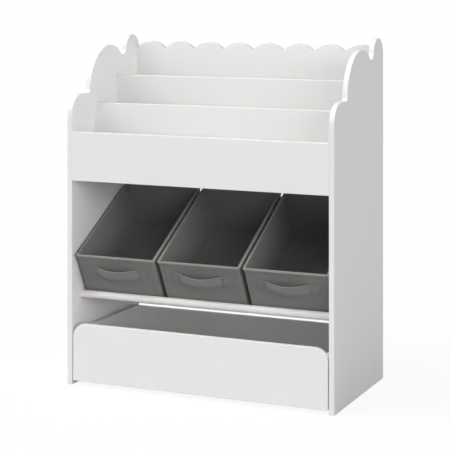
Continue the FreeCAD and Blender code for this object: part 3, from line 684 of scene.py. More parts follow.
def board_material(settings):
    """White satin foil with a faint pebble, rubbed edges and a little dust."""
    def build(graph):
        at = object_place(graph)
        shade = graph.use(mottling(), {"Vector": at, "Amount": 0.045})["Brightness"]
        clean = graph.tint(rgba(settings.colour), shade)
        rub = graph.use(edge_rub(), {"Vector": at, "Amount": settings.wear})["Mask"]
        lying = graph.use(dust(), {"Vector": at, "Amount": 0.16})["Mask"]
        rubbed = graph.mix(rub, clean, rgba(settings.colour, 0.80))
        colour = graph.mix(lying, rubbed, (0.62, 0.60, 0.57, 1.0))
        peel = graph.use(orange_peel(), {"Vector": at, "Scale": 420.0})["Height"]
        rough = graph.math("MULTIPLY_ADD", rub, 0.22, graph.ramp(
            graph.noise(at, 9.0, 3.0), 0.3, 0.75, 0.36, 0.47))
        return {"Base Color": colour, "Roughness": rough, "Normal": graph.bump(peel, 0.10, 0.0002)}
    return new_material("white_foil_board", build, Specular_IOR_Level=0.42)


def rail_material(settings):
    """White powder coat on steel tube."""
    def build(graph):
        at = object_place(graph)
        shade = graph.use(mottling(), {"Vector": at, "Amount": 0.05})["Brightness"]
        lying = graph.use(dust(), {"Vector": at, "Amount": 0.22})["Mask"]
        colour = graph.mix(lying, graph.tint(rgba(settings.rail_colour), shade), (0.6, 0.58, 0.55, 1.0))
        peel = graph.use(orange_peel(), {"Vector": at, "Scale": 900.0})["Height"]
        rough = graph.ramp(graph.noise(at, 30.0, 3.0), 0.3, 0.7, 0.30, 0.42)
        return {"Base Color": colour, "Roughness": rough, "Normal": graph.bump(peel, 0.22, 0.0003)}
    return new_material("white_powder_coat", build, Coat_Weight=0.08, Coat_Roughness=0.3)


def cloth_material(name, settings, painted_light_gain, relief):
    """Grey woven cloth with heathered threads, soft creases and a dusting on what faces up. A gain above 1
    on the colour is painted light: a lighter copy of the same cloth.
    """
    def build(graph):
        at = cloth_place(graph)
        weave = graph.use(plain_weave(), {"Vector": at, "Pitch": settings.pitch, "Heather": 0.45})
        broad = graph.use(mottling(), {"Vector": object_place(graph), "Amount": 0.16})["Brightness"]
        # the weave's Shade holds each thread's tone and painted shade in the weave's hollows
        shade = graph.math("MULTIPLY", weave["Shade"], broad)
        # painted light: the gain brightens the cloth's own colour, for the lighter copies on the lit rim
        # tape and strap
        cloth = graph.tint(rgba(settings.colour, painted_light_gain), shade)
        lying = graph.use(dust(), {"Vector": object_place(graph), "Amount": 0.10})["Mask"]
        rub = graph.use(edge_rub(), {"Vector": object_place(graph), "Amount": 0.5})["Mask"]
        worn = graph.mix(rub, cloth, rgba(settings.colour, 1.35 * painted_light_gain))
        colour = graph.mix(lying, worn, (0.34, 0.33, 0.31, 1.0))
        creases = graph.noise(graph.scale(at, (26.0, 13.0, 1.0)), 1.0, 3.0, 0.55)
        height = graph.math("MULTIPLY_ADD", creases, 2.2, weave["Height"])
        rough = graph.ramp(weave["Height"], 0.2, 1.2, 0.96, 0.84)
        return {"Base Color": colour, "Roughness": rough, "Normal": graph.bump(height, relief, 0.0004)}
    return new_material(name, build, Specular_IOR_Level=0.18, Sheen_Weight=0.10, Sheen_Roughness=0.5)


def thread_material(settings):
    """Twisted sewing thread."""
    def build(graph):
        ply = graph.use(thread_twist(), {"Vector": cloth_place(graph)})
        # the ply's Shade darkens the grooves between the plies as painted shade
        return {"Base Color": graph.tint(rgba(settings.thread), ply["Shade"]),
                "Normal": graph.bump(ply["Height"], 0.5, 0.0001)}
    return new_material("sewing_thread", build, Roughness=0.75, Sheen_Weight=0.15)


def metal_material(name, colour, stretch, roughness):
    """Plated metal with drawn lines and dull blotches."""
    def build(graph):
        at = object_place(graph)
        lines = graph.use(drawn_lines(), {"Vector": at, "Stretch": stretch})
        rough = graph.ramp(graph.noise(at, 220.0, 4.0), 0.3, 0.7, roughness, roughness + 0.16)
        return {"Base Color": graph.tint(rgba(colour), lines["Shade"]), "Roughness": rough,
                "Normal": graph.bump(lines["Height"], 0.12, 0.0001)}
    return new_material(name, build, Metallic=1.0)


def zinc_material():
    """Bright zinc plate of the small fixings and the axles."""
    return metal_material("zinc_plate", (0.66, 0.66, 0.67), (3000.0, 3000.0, 120.0), 0.30)


def beech_material():
    """Beech along X with short darker rays."""
    def build(graph):
        at = object_place(graph)
        grain = graph.noise(graph.scale(at, (40.0, 900.0, 900.0)), 1.0, 4.0, 0.6)
        colour = graph.mix(graph.ramp(grain, 0.35, 0.7), (0.66, 0.45, 0.26, 1.0), (0.50, 0.31, 0.16, 1.0))
        return {"Base Color": colour, "Normal": graph.bump(grain, 0.2, 0.0002)}
    return new_material("beech", build, Roughness=0.6)


def wheel_material():
    """Dark moulded plastic with a rubbed tread and floor dust."""
    def build(graph):
        at = object_place(graph)
        shade = graph.use(mottling(), {"Vector": at, "Amount": 0.3})["Brightness"]
        specks = graph.ramp(graph.noise(at, 900.0, 3.0), 0.55, 0.75)
        clean = graph.tint((0.045, 0.045, 0.046, 1.0), shade)
        colour = graph.mix(graph.math("MULTIPLY", specks, 0.25), clean, (0.25, 0.24, 0.22, 1.0))
        peel = graph.use(orange_peel(), {"Vector": at, "Scale": 1500.0})["Height"]
        return {"Base Color": colour, "Roughness": graph.ramp(shade, 0.9, 1.1, 0.42, 0.6),
                "Normal": graph.bump(peel, 0.2, 0.0002)}
    return new_material("wheel_plastic", build)


def handed_over(nodes, material):
    """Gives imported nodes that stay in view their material."""
    for name in nodes:
        mesh = frame["nodes"][name].data
        mesh.materials.clear()
        mesh.materials.append(material)


# ---------------------------------------------------------------- fixings between the boards
def upright(name, top=None):
    """The middle plane of an upright board and the heights of its cams and dowel."""
    low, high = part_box(name)
    top = high.z if top is None else top
    return {"y": (low.y + high.y) / 2, "rear": high.y,
            "cams": (low.z + FIXING_INSET, top - FIXING_INSET), "dowels": ((low.z + top) / 2,)}


def fixings():
    """Every joint of the boards with the side panels, by board."""
    valley = BACK_TOP - SCALLOP_HEIGHT
    found = {name: upright(name) for name in
             ("tier_1_board", "tier_2_board", "tier_3_board", "rear_stretcher")}
    found["back_panel"] = upright("back_panel", valley)
    return found


def floor_dowels(name):
    """(y, z) of the dowels in the end of a tier's floor."""
    low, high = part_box(name)
    z = (low.z + high.z) / 2
    return ((low.y + FIXING_INSET, z), (high.y - FIXING_INSET, z))


def panel_bores(side):
    """The bores in the inner face of a side panel."""
    found = []
    for joint in fixings().values():
        found += [((side * INNER, joint["y"], z), 0, CAM_BOLT[0], side * CAM_BOLT[1])
                  for z in joint["cams"]]
        found += [((side * INNER, joint["y"], z), 0, DOWEL[0], side * DOWEL[1])
                  for z in joint["dowels"]]
    for number in TIERS:
        found += [((side * INNER, y, z), 0, DOWEL[0], side * DOWEL[1])
                  for y, z in floor_dowels("tier_%d_floor" % number)]
    for rail in RAILS:
        low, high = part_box(rail)
        found.append(((side * INNER, (low.y + high.y) / 2, (low.z + high.z) / 2), 0,
                      RAIL_SOCKET[0], side * RAIL_SOCKET[1]))
    # the cutters start a little outside the face, so that no two faces coincide
    return [((start[0] - side * CUT_PAST, start[1], start[2]), axis, radius, depth + side * CUT_PAST)
            for start, axis, radius, depth in found]


def board_bores(joint):
    """Channels and dowel bores in a board's ends, and the pockets of its cams."""
    channels, pockets = [], []
    for side in SIDES:
        start = side * (INNER + CUT_PAST)
        channels += [((start, joint["y"], z), 0, CAM_CHANNEL, -side * (CAM_DISTANCE + CUT_PAST))
                     for z in joint["cams"]]
        channels += [((start, joint["y"], z), 0, DOWEL[0], -side * (DOWEL[2] + CUT_PAST))
                     for z in joint["dowels"]]
        pockets += [((side * (INNER - CAM_DISTANCE), joint["rear"] + CUT_PAST, z), 1,
                     CAM_RADIUS + POCKET_SLACK, -CAM_DEPTH - CUT_PAST) for z in joint["cams"]]
    return [bores(channels), bores(pockets)]


def drawer_joints():
    """Where the drawer's cams, dowels and screws are."""
    low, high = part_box("drawer_right_side")
    rear_low, rear_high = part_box("drawer_back")
    middle, back = (low.x + high.x) / 2, (rear_low.y + rear_high.y) / 2
    inset = BASE_SCREW[0]
    base = [(side * middle, y) for side in SIDES for y in (low.y + inset, high.y - inset)]
    return {"middle": middle, "outer": high.x, "front": low.y, "back": back, "foot": low.z,
            "cam": (low.z + high.z) / 2,
            "dowels": (low.z + DRAWER_DOWEL_INSET, high.z - DRAWER_DOWEL_INSET),
            "side_screws": (low.z + SIDE_SCREW[0], high.z - SIDE_SCREW[0]),
            "base_screws": base + [(side * BACK_SCREW_SPREAD, back) for side in SIDES]}


def caster_screws():
    """(x, y, z) of the seats of the casters' screws, under the plates of the brackets."""
    found = []
    for corner in CORNERS:
        low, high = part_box("caster_bracket_" + corner)
        found += [((low.x + high.x) / 2, y, high.z - BRACKET_STEEL)
                  for y in (low.y + CASTER_SCREW[0], high.y - CASTER_SCREW[0])]
    return found


# ---------------------------------------------------------------- boards
def between(first, first_reach, second, second_reach):
    """The upper of the two points at given distances from two centres."""
    first, second = np.array(first), np.array(second)
    way = second - first
    span = np.linalg.norm(way)
    along = (first_reach ** 2 - second_reach ** 2 + span ** 2) / (2 * span)
    off = math.sqrt(first_reach ** 2 - along ** 2)
    way /= span
    return first + along * way + off * np.array([-way[1], way[0]])


def angle_to(start, end):
    """Direction from one point to another, in degrees from 0 to 360."""
    return math.degrees(math.atan2(end[1] - start[1], end[0] - start[0])) % 360


def side_outline():
    """The stepped outline of a side panel in Y and Z, from the front foot over the three lobes to
    the rear foot, all lines and arcs that meet smoothly."""
    foot = PANEL_FOOT
    radius, rise = FRONT_LOBE
    front_top = TIER_TOP + rise
    peak = REAR - MIDDLE_PEAK_TO_BACK
    middle_top = TIER_TOP + MIDDLE_RISE
    front = (FRONT + radius, front_top - radius)
    climb = (peak, middle_top - MIDDLE_FRONT_RADIUS)
    fall = (peak, middle_top - MIDDLE_REAR_RADIUS)
    rear = (REAR - REAR_LOBE_RADIUS, TOP - REAR_LOBE_RADIUS)
    level = front_top + STEP_COVE
    reach = MIDDLE_FRONT_RADIUS + STEP_COVE
    step = (peak - math.sqrt(reach ** 2 - (level - climb[1]) ** 2), level)
    notch = between(fall, MIDDLE_REAR_RADIUS + NOTCH_COVE, rear, REAR_LOBE_RADIUS + NOTCH_COVE)
    step_end = angle_to(step, climb)
    step_end += 0 if step_end > 270 else 360
    notch_start, notch_end = angle_to(notch, fall), angle_to(notch, rear)
    notch_end += 0 if notch_end > notch_start else 360
    return joined(
        arc((FRONT + foot, foot), foot, 270, 180),
        arc(front, radius, 180, 90),
        arc(step, STEP_COVE, 270, step_end),
        arc(climb, MIDDLE_FRONT_RADIUS, angle_to(climb, step), 90),
        arc(fall, MIDDLE_REAR_RADIUS, 90, angle_to(fall, notch)),
        arc(notch, NOTCH_COVE, notch_start, notch_end),
        arc(rear, REAR_LOBE_RADIUS, angle_to(rear, notch), 0),
        arc((REAR - foot, foot), foot, 360, 270))


def back_outline():
    """The back panel in X and Z, with a top edge of equal arcs."""
    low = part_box("back_panel")[0]
    pitch = 2 * INNER / SCALLOPS
    radius = (pitch ** 2 / 4 + SCALLOP_HEIGHT ** 2) / (2 * SCALLOP_HEIGHT)
    spread = math.degrees(math.asin(pitch / 2 / radius))
    tops = [arc((-INNER + (number + 0.5) * pitch, BACK_TOP - radius), radius, 90 + spread, 90 - spread)
            for number in range(SCALLOPS)]
    return joined(arc((-INNER + SHARP, low.z + SHARP), SHARP, 270, 180), *tops,
                  arc((INNER - SHARP, low.z + SHARP), SHARP, 0, -90))


def board_outline(name, axes, radii=(SHARP,) * 4):
    """A rectangle round a packed board, in two of its axes."""
    low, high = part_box(name)
    return rounded_rectangle([low[a] for a in axes], [high[a] for a in axes], radii)


def place_board(board, name, body, node, settings):
    """Puts a white board in a packed board's place."""
    place(board, name, board_material(settings), body, [node], sharp=CREASE)


class ORGANIZER_OT_panels(bpy.types.Operator):
    """Make the two side panels with their lobes, sockets and bores"""
    bl_idname = "organizer.panels"
    bl_label = "Side panels"

    def execute(self, context):
        """The outline is carried through the thickness, then the bores are cut."""
        settings = context.scene.organizer_boards
        for side, (low, high), name in ((-1, LEFT, "left_side_panel"), (1, RIGHT, "right_side_panel")):
            board = eased_board(side_outline(), settings.easing, low.x, high.x, flat_yz)
            board = cut_away(board, [bores(panel_bores(side))])
            place_board(board, name.replace("_panel", ""), "cabinet", name, settings)
        return {"FINISHED"}


class ORGANIZER_OT_tiers(bpy.types.Operator):
    """Make the upright boards and the floors of the three book tiers"""
    bl_idname = "organizer.tiers"
    bl_label = "Book tiers"

    def execute(self, context):
        """Top edges are rounded; ends that meet a side panel stay crisp."""
        settings = context.scene.organizer_boards
        joints = fixings()
        for number in TIERS:
            name = "tier_%d_board" % number
            low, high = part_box(name)
            outline = board_outline(name, (0, 2))
            board = eased_board(outline, eased_where((0, 1), settings.easing), low.y, high.y, flat_xz)
            board = cut_away(board, board_bores(joints[name]))
            place_board(board, "tier_%d_front" % number, "cabinet", name, settings)
            name = "tier_%d_floor" % number
            low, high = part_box(name)
            holes = [((side * (INNER + CUT_PAST), y, z), 0, DOWEL[0], -side * (DOWEL[2] + CUT_PAST))
                     for side in SIDES for y, z in floor_dowels(name)]
            board = eased_board(board_outline(name, (0, 1)), SHARP, low.z, high.z, flat_xy)
            board = cut_away(board, [bores(holes)])
            place_board(board, "tier_%d_shelf" % number, "cabinet", name, settings)
        return {"FINISHED"}


class ORGANIZER_OT_back(bpy.types.Operator):
    """Make the scalloped back panel and the low rear stretcher"""
    bl_idname = "organizer.back"
    bl_label = "Back and stretcher"

    def execute(self, context):
        """Scallops are equal arcs; the stretcher's long edges are rounded, above and below."""
        settings = context.scene.organizer_boards
        joints = fixings()
        low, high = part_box("back_panel")
        board = eased_board(back_outline(), eased_where((0, 1), settings.easing), low.y, high.y, flat_xz)
        board = cut_away(board, board_bores(joints["back_panel"]))
        place_board(board, "scalloped_back", "cabinet", "back_panel", settings)
        low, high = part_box("rear_stretcher")
        board = eased_board(board_outline("rear_stretcher", (0, 2)),
                            lambda normals: eased_where((0, 1), settings.easing)(np.abs(normals)),
                            low.y, high.y, flat_xz)
        board = cut_away(board, board_bores(joints["rear_stretcher"]))
        place_board(board, "stretcher", "cabinet", "rear_stretcher", settings)
        return {"FINISHED"}


# ---------------------------------------------------------------- rails and fixings
class ORGANIZER_OT_rails(bpy.types.Operator):
    """Make the three tubes that carry the bins"""
    bl_idname = "organizer.rails"
    bl_label = "Bin rails"

    def execute(self, context):
        """A tube's closed section, with rounded lips at both ends, carried round its axis."""
        settings = context.scene.organizer_boards
        for name in RAILS:
            low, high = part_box(name)
            half = high.x
            radius = (high.z - low.z) / 2
            bore = radius - RAIL_WALL
            t = np.linspace(0, math.pi, 9)
            lip = np.stack([half - RAIL_WALL / 2 * (1 - np.sin(t)),
                            (radius + bore) / 2 + RAIL_WALL / 2 * np.cos(t)], -1)
            run = np.linspace(-half + RAIL_WALL, half - RAIL_WALL, 25)
            outer = np.stack([run, np.full(25, radius)], -1)
            inner = np.stack([run[::-1], np.full(25, bore)], -1)
            other = lip[::-1] * np.array([-1, 1])
            profile = np.concatenate([outer, lip, inner, other, outer[:1]])
            surface = Surface()
            turned(surface, profile, (0, (low.y + high.y) / 2, (low.z + high.z) / 2), 0, 56)
            place(surface.mesh(name), name.replace("_bin", ""), rail_material(settings), "cabinet",
                  [name], sharp=TURNED_CREASE)
        return {"FINISHED"}


def cross_cutter(span, width, depth, taper=0.6, top=0.0):
    """A cross-shaped recess along -Z from a height, a little narrower at its floor."""
    arm, half = span / 2, width / 2
    outline = np.array([(half, half), (half, arm), (-half, arm), (-half, half),
                        (-arm, half), (-arm, -half), (-half, -half), (-half, -arm),
                        (half, -arm), (half, -half), (arm, -half), (arm, half)])
    count = len(outline)
    surface = Surface()
    rings = np.stack([np.column_stack([outline, np.full(count, top + depth)]),
                      np.column_stack([outline, np.full(count, top)]),
                      np.column_stack([outline * taper, np.full(count, top - depth)])])
    first = surface.grid(rings, closed=True)
    surface.cap(first + np.arange(count), outline)
    surface.cap(first + 2 * count + np.arange(count)[::-1], outline)
    return surface.mesh("cross")


def cam_master():
    """A cam lock along -Z with its rim flush at the origin: a drum with an eased foot, a thin
    flange, a dished face and a cross recess."""
    flange, dish, foot = 0.25 * MM, 0.5 * MM, 0.6 * MM
    profile = [(-CAM_DEPTH, 0), (-CAM_DEPTH, CAM_RADIUS - foot), (-CAM_DEPTH + foot, CAM_RADIUS),
               (0, CAM_RADIUS), (0, CAM_RADIUS + 0.7 * MM), (flange * 0.7, CAM_RADIUS + 0.6 * MM),
               (flange, CAM_RADIUS + 0.3 * MM), (flange, CAM_RADIUS * 0.80),
               (-dish, CAM_RADIUS * 0.74), (-dish, 0)]
    surface = Surface()
    turned(surface, profile, (0, 0, 0), 2, 40)
    return cut_away(surface.mesh("cam"), [cross_cutter(10.0 * MM, 1.7 * MM, 3.0 * MM, 0.85)])


def screw_master(length):
    """A pan-head screw along -Z with its seat at the origin: a threaded shank with a point, a low
    domed head and a cross recess."""
    shank, head, dome = SCREW
    start, half_pitch, root = SCREW_THREAD
    turns = np.arange(2 * int(length * 0.8 / (2 * half_pitch)))
    thread = [(-start - step * half_pitch, shank * (1.0 if step % 2 else root)) for step in turns]
    t = np.linspace(0, math.pi / 2, 7)
    cap = [(dome * math.sin(a), head * (0.55 + 0.45 * math.cos(a))) for a in t]
    profile = [(-length, 0)] + thread[::-1] + [(0, shank * 0.8), (0, head)] + cap + [(dome, 0)]
    surface = Surface()
    turned(surface, profile, (0, 0, 0), 2, 28)
    return cut_away(surface.mesh("screw"), [cross_cutter(head * 1.05, head * 0.24, dome, top=dome)])


# turns from +Z to another way, as the rows of a matrix
TO_REAR = ((1, 0, 0), (0, 0, 1), (0, -1, 0))
TO_FLOOR = ((1, 0, 0), (0, -1, 0), (0, 0, -1))
TO_SIDE = {-1: ((0, 0, -1), (-1, 0, 0), (0, 1, 0)), 1: ((0, 0, 1), (1, 0, 0), (0, 1, 0))}


class ORGANIZER_OT_fixings(bpy.types.Operator):
    """Make the cams in the boards and the screws of the drawer and its casters"""
    bl_idname = "organizer.fixings"
    bl_label = "Cams and screws"

    def execute(self, context):
        """One master of each kind is turned, recessed and copied to its places."""
        zinc = zinc_material()
        cam = cam_master()
        side_screw, base_screw, caster_screw = [
            screw_master(length) for length in (SIDE_SCREW[1], BASE_SCREW[1], CASTER_SCREW[1])]
        joints = drawer_joints()
        boards = [(TO_REAR, (side * (INNER - CAM_DISTANCE), joint["rear"], z))
                  for joint in fixings().values() for side in SIDES for z in joint["cams"]]
        faces = [(TO_SIDE[side], (side * joints["outer"], joints["front"] + CAM_DISTANCE, joints["cam"]))
                 for side in SIDES]
        rears = [(TO_SIDE[side], (side * joints["outer"], joints["back"], z))
                 for side in SIDES for z in joints["side_screws"]]
        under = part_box("drawer_base")[0].z
        bottoms = [(TO_FLOOR, (x, y, under)) for x, y in joints["base_screws"]]
        plates = [(TO_FLOOR, seat) for seat in caster_screws()]
        for master, places, name, body, node in (
                (cam, boards, "cam_locks", "cabinet", "cam_nuts"),
                (cam, faces, "drawer_cam_locks", "drawer", "drawer_cam_nuts"),
                (side_screw, rears, "drawer_rear_screws", "drawer", "drawer_side_screws"),
                (base_screw, bottoms, "drawer_bottom_screws", "drawer", "drawer_base_screws"),
                (caster_screw, plates, "caster_fixing_screws", "drawer", "caster_screws")):
            place(repeated(master, places), name, zinc, body, [node], sharp=CREASE)
        handed_over(["cam_bolts", "drawer_cam_bolts"], zinc)
        handed_over(["dowels", "drawer_dowels"], beech_material())
        return {"FINISHED"}


# ---------------------------------------------------------------- sewn goods
def ripple(first, second, seed):
    """A smooth unevenness from -1 to 1: the mean of four sine waves in different directions."""
    total = 0
    for number in range(4):
        angle = seed + 1.9 * number
        wave = 19 + 13 * number
        way = first * math.cos(angle) + second * math.sin(angle)
        total = total + np.sin(wave * way + 2.3 * seed * number)
    return total / 4


class Tray:
    """An open box of stiffened cloth. Its walls are one surface: outside up, over the rim and down
    inside, as a function of the distance along the rim's outline and of the height."""

    def __init__(self, low, high, height, wall, corner, fullness, seed, step=5 * MM):
        self.height, self.wall, self.fullness, self.seed = height, wall, fullness, seed
        self.outline = rounded_rectangle(low, high, (corner,) * 4, step)
        self.normals = outward(self.outline)
        self.lengths = run_length(self.outline)
        self.low, self.high = np.array(low), np.array(high)

    def swell(self, height):
        """How far the walls stand out at each point of the outline: a half sine up the height
        times a half sine along each side, with a fine ripple."""
        share = (self.outline - self.low) / (self.high - self.low)
        along_x = np.abs(self.normals[:, 1]) > np.abs(self.normals[:, 0])
        across = np.where(along_x, share[:, 0], share[:, 1])
        side = np.sin(math.pi * np.clip(across, 0, 1)) ** 0.6
        up = np.sin(math.pi * np.clip(height / self.height, 0, 1)) ** 0.7
        wave = ripple(self.lengths[:-1], height, self.seed)
        return self.fullness * up * side * (0.7 + 0.45 * wave)

    def ring(self, inset, height, share=1.0):
        """The outline drawn in by an inset, swollen, at a height."""
        out = self.swell(height) * share - inset
        flat = self.outline + self.normals * out[:, None]
        return np.column_stack([flat, np.broadcast_to(height, len(flat))])

    def pillow(self, surface, ring, level, sag):
        """Closes a ring with rings that shrink to its middle and dip by a sag."""
        middle = ring.mean(0)
        rows = []
        for share in (1.0, 0.985, 0.94, 0.85, 0.7, 0.5, 0.25, 0.0):
            row = middle + (ring - middle) * share
            row[:, 2] = level + sag * (1 - share ** 4) + 0.25 * sag * ripple(row[:, 0], row[:, 1], self.seed)
            rows.append(row)
        rows[0] = ring
        rows = np.stack(rows)
        u = np.concatenate([rows[..., 0], rows[:, :1, 0]], 1)
        v = np.concatenate([rows[..., 1], rows[:, :1, 1]], 1)
        surface.grid(rows, u, v, closed=True)

    def shell(self, liner):
        """The walls and bottom as one closed surface, whose top edge ends inside the rolled rim.
        liner is the thickness of the bottom."""
        top = self.height - 3 * MM
        half = self.wall / 2
        rows = []
        for a in np.linspace(0, math.pi / 2, 5):
            rows.append(self.ring(BOTTOM_EASING * (1 - math.sin(a)), BOTTOM_EASING * (1 - math.cos(a))))
        for height in np.linspace(BOTTOM_EASING, top - half, 30)[1:]:
            rows.append(self.ring(0, height))
        for a in np.linspace(0, math.pi, 7)[1:]:
            rows.append(self.ring(half * (1 - math.cos(a)), top - half + half * math.sin(a)))
        for height in np.linspace(top - half, liner + BOTTOM_COVE, 30)[1:]:
            rows.append(self.ring(self.wall, height, INNER_SWELL))
        for a in np.linspace(0, math.pi / 2, 4)[1:]:
            rows.append(self.ring(self.wall + BOTTOM_COVE * (1 - math.cos(a)),
                                  liner + BOTTOM_COVE * (1 - math.sin(a)), INNER_SWELL))
        rows = np.stack(rows)
        surface = Surface()
        surface.grid(rows, self.lengths, running(rows[:, 0]), closed=True)
        self.pillow(surface, rows[0], 0, 0.3 * MM)
        self.pillow(surface, rows[-1], liner, 0.0)
        return surface

    def rim(self, roll, proud):
        """The rolled rim: a rounded section carried along the outline. It stands out from the
        walls and is puckered a little by its thread, as the sine of the distance."""
        bend = 3.0 * MM
        section = rounded_rectangle((-proud, self.height - roll), (self.wall + 0.3 * MM, self.height),
                                    (2.2 * MM, 0.6 * MM, bend, bend), 1.5 * MM)
        section = np.concatenate([section, section[:1]])
        pucker = 0.12 * MM * np.sin(self.lengths[:-1] * 2 * math.pi / (11 * MM) + 3 * self.seed)
        rows = []
        for inset, level in section:
            row = self.ring(inset, level, 1.0 if inset < 0 else INNER_SWELL)
            row[:, :2] += self.normals * (pucker * (1 if inset < 0 else 0))[:, None]
            rows.append(row)
        from_edge = np.hypot(section[:, 0] + proud, self.height - section[:, 1])
        edge = np.clip(1 - from_edge / bend, 0, 1)
        surface = Surface()
        surface.grid(np.stack(rows), self.lengths, running(section), closed=True, edge=edge[:, None])
        return surface


def stitches(surface, path, normals, pitch, width, closed=False):
    """Thread along a path. Each stitch is a short tube over u from -1 to 1, its radius times
    (1 - u^4)^(1/2) and its middle raised by an arch 1 - u^2 out of the cloth."""
    if closed:
        path, normals = np.concatenate([path, path[:1]]), np.concatenate([normals, normals[:1]])
    total = running(path)
    count = max(1, int(round(total[-1] / pitch)))
    middle = (np.arange(count) + 0.5) * total[-1] / count
    half = 0.40 * total[-1] / count

    def sample(values, at):
        return np.stack([np.interp(at, total, values[:, axis]) for axis in range(3)], -1)

    ahead = sample(path, np.minimum(middle + half, total[-1])) - sample(path, np.maximum(middle - half, 0))
    ahead /= np.linalg.norm(ahead, axis=1, keepdims=True)
    up = sample(normals, middle)
    up -= ahead * np.sum(up * ahead, 1, keepdims=True)
    up /= np.linalg.norm(up, axis=1, keepdims=True)
    sideways = np.cross(up, ahead)
    u = np.linspace(-1, 1, 7)
    a = np.linspace(0, 2 * math.pi, 6, endpoint=False)
    radius = width / 2 * np.sqrt(np.clip(1 - u ** 4, 0, 1))
    lift = width * (0.55 * (1 - u ** 2) - 0.22)
    x = (u * half)[:, None] + 0 * a
    y = radius[:, None] * np.cos(a)
    z = radius[:, None] * np.sin(a) * 0.8 + lift[:, None]
    shape = (sample(path, middle)[:, None, None] + ahead[:, None, None] * x[None, :, :, None]
             + sideways[:, None, None] * y[None, :, :, None] + up[:, None, None] * z[None, :, :, None])
    for one in shape:
        surface.grid(one, np.linspace(0, math.pi * width, 7), u * half, closed=True)


def in_bin(points, number):
    """Points given across, along and up a bin, tilted and set on the rails in its place."""
    low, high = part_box("bin_%d_shell" % number)
    x, along, up = points[..., 0], points[..., 1], points[..., 2]
    return np.stack([x + (low.x + high.x) / 2,
                     FRONT + BIN_SETBACK + along * math.cos(TILT) - up * math.sin(TILT),
                     BIN_CORNER_LEVEL + along * math.sin(TILT) + up * math.cos(TILT)], -1)


def moved_in_bin(surface, number):
    """A surface whose points are set in a bin's place."""
    surface.points = [in_bin(points, number) for points in surface.points]
    return surface


def bin_tray(number, settings):
    """The stiffened cloth box of one bin."""
    low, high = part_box("bin_%d_shell" % number)
    half = (high.x - low.x) / 2 - RIM_PROUD
    return Tray((-half, 0), (half, BIN_LENGTH), BIN_HEIGHT, BIN_WALL, BIN_CORNER, settings.fullness,
                0.7 + 1.3 * number)


def strap_path(tray):
    """The middle line of a handle: flat tabs and a loop that bows off by B (1 - (x/a)^2)^p."""
    half, tab = HANDLE_HALF_LOOP, HANDLE_TAB
    x = np.concatenate([np.linspace(-half - tab, -half, 12)[:-1],
                        -half * np.cos(np.linspace(0, math.pi, 61)),
                        np.linspace(half, half + tab, 12)[1:]])
    front = tray.normals[:, 1] < -0.99
    order = np.argsort(tray.outline[front, 0])
    rest = np.interp(x, tray.outline[front, 0][order], tray.swell(HANDLE_LEVEL)[front][order])
    bow = HANDLE_BULGE * np.clip(1 - (x / half) ** 2, 0, 1) ** STRAP_ARC
    return x, rest + bow + HANDLE_THICKNESS / 2 + 0.05 * MM


def strap_frame(tray):
    """Points and outward normals along a handle's middle line, in the bin's own place."""
    x, out = strap_path(tray)
    points = np.column_stack([x, -out, np.full(len(x), HANDLE_LEVEL)])
    ahead = np.gradient(points, axis=0)
    ahead /= np.linalg.norm(ahead, axis=1, keepdims=True)
    normals = np.column_stack([ahead[:, 1], -ahead[:, 0], np.zeros(len(x))])
    return points, normals


def strap_share(points):
    """How far each point is in a handle's loop: 1 in its middle, falling to 0 at the tabs."""
    return np.clip(1 - (points[:, 0] / HANDLE_HALF_LOOP) ** 2, 0, 1)


def strap(tray):
    """The handle: a flat section with round edges, cupped towards the bin, carried along its
    middle line and drawn in at both ends."""
    points, normals = strap_frame(tray)
    loop = strap_share(points)
    half, thick = HANDLE_BAND / 2, HANDLE_THICKNESS / 2
    a = np.linspace(0, math.pi, 7)
    end = half - thick
    upper = np.column_stack([end + thick * np.sin(a), thick * np.cos(a)])
    run = np.linspace(-end, end, 13)[1:-1]
    hem = thick * (1 + 0.10 * np.cos(run / end * math.pi))
    section = np.concatenate([np.column_stack([run, hem]), upper,
                              np.column_stack([run[::-1], -hem[::-1]]), upper * [-1, 1] * [1, -1]])
    cup = -STRAP_CUP * loop[:, None] * (section[:, 0] / half) ** 2
    ends = np.ones(len(points))
    ends[[0, -1]] = 0.35
    out = section[:, 1] * ends[:, None] + cup
    up = section[:, 0] * (1 - 0.05 * (1 - ends[:, None]))
    droop = -STRAP_DROOP * loop[:, None]
    rows = points[:, None] + normals[:, None] * out[..., None]
    rows[..., 2] += up + droop
    surface = Surface()
    edge = 0.8 * (np.abs(section[:, 0]) > end)
    first = surface.grid(rows, run_length(section), running(points), closed=True, edge=edge)
    count = len(section)
    surface.cap(first + np.arange(count), section)
    surface.cap(first + (len(points) - 1) * count + np.arange(count), section)
    return surface


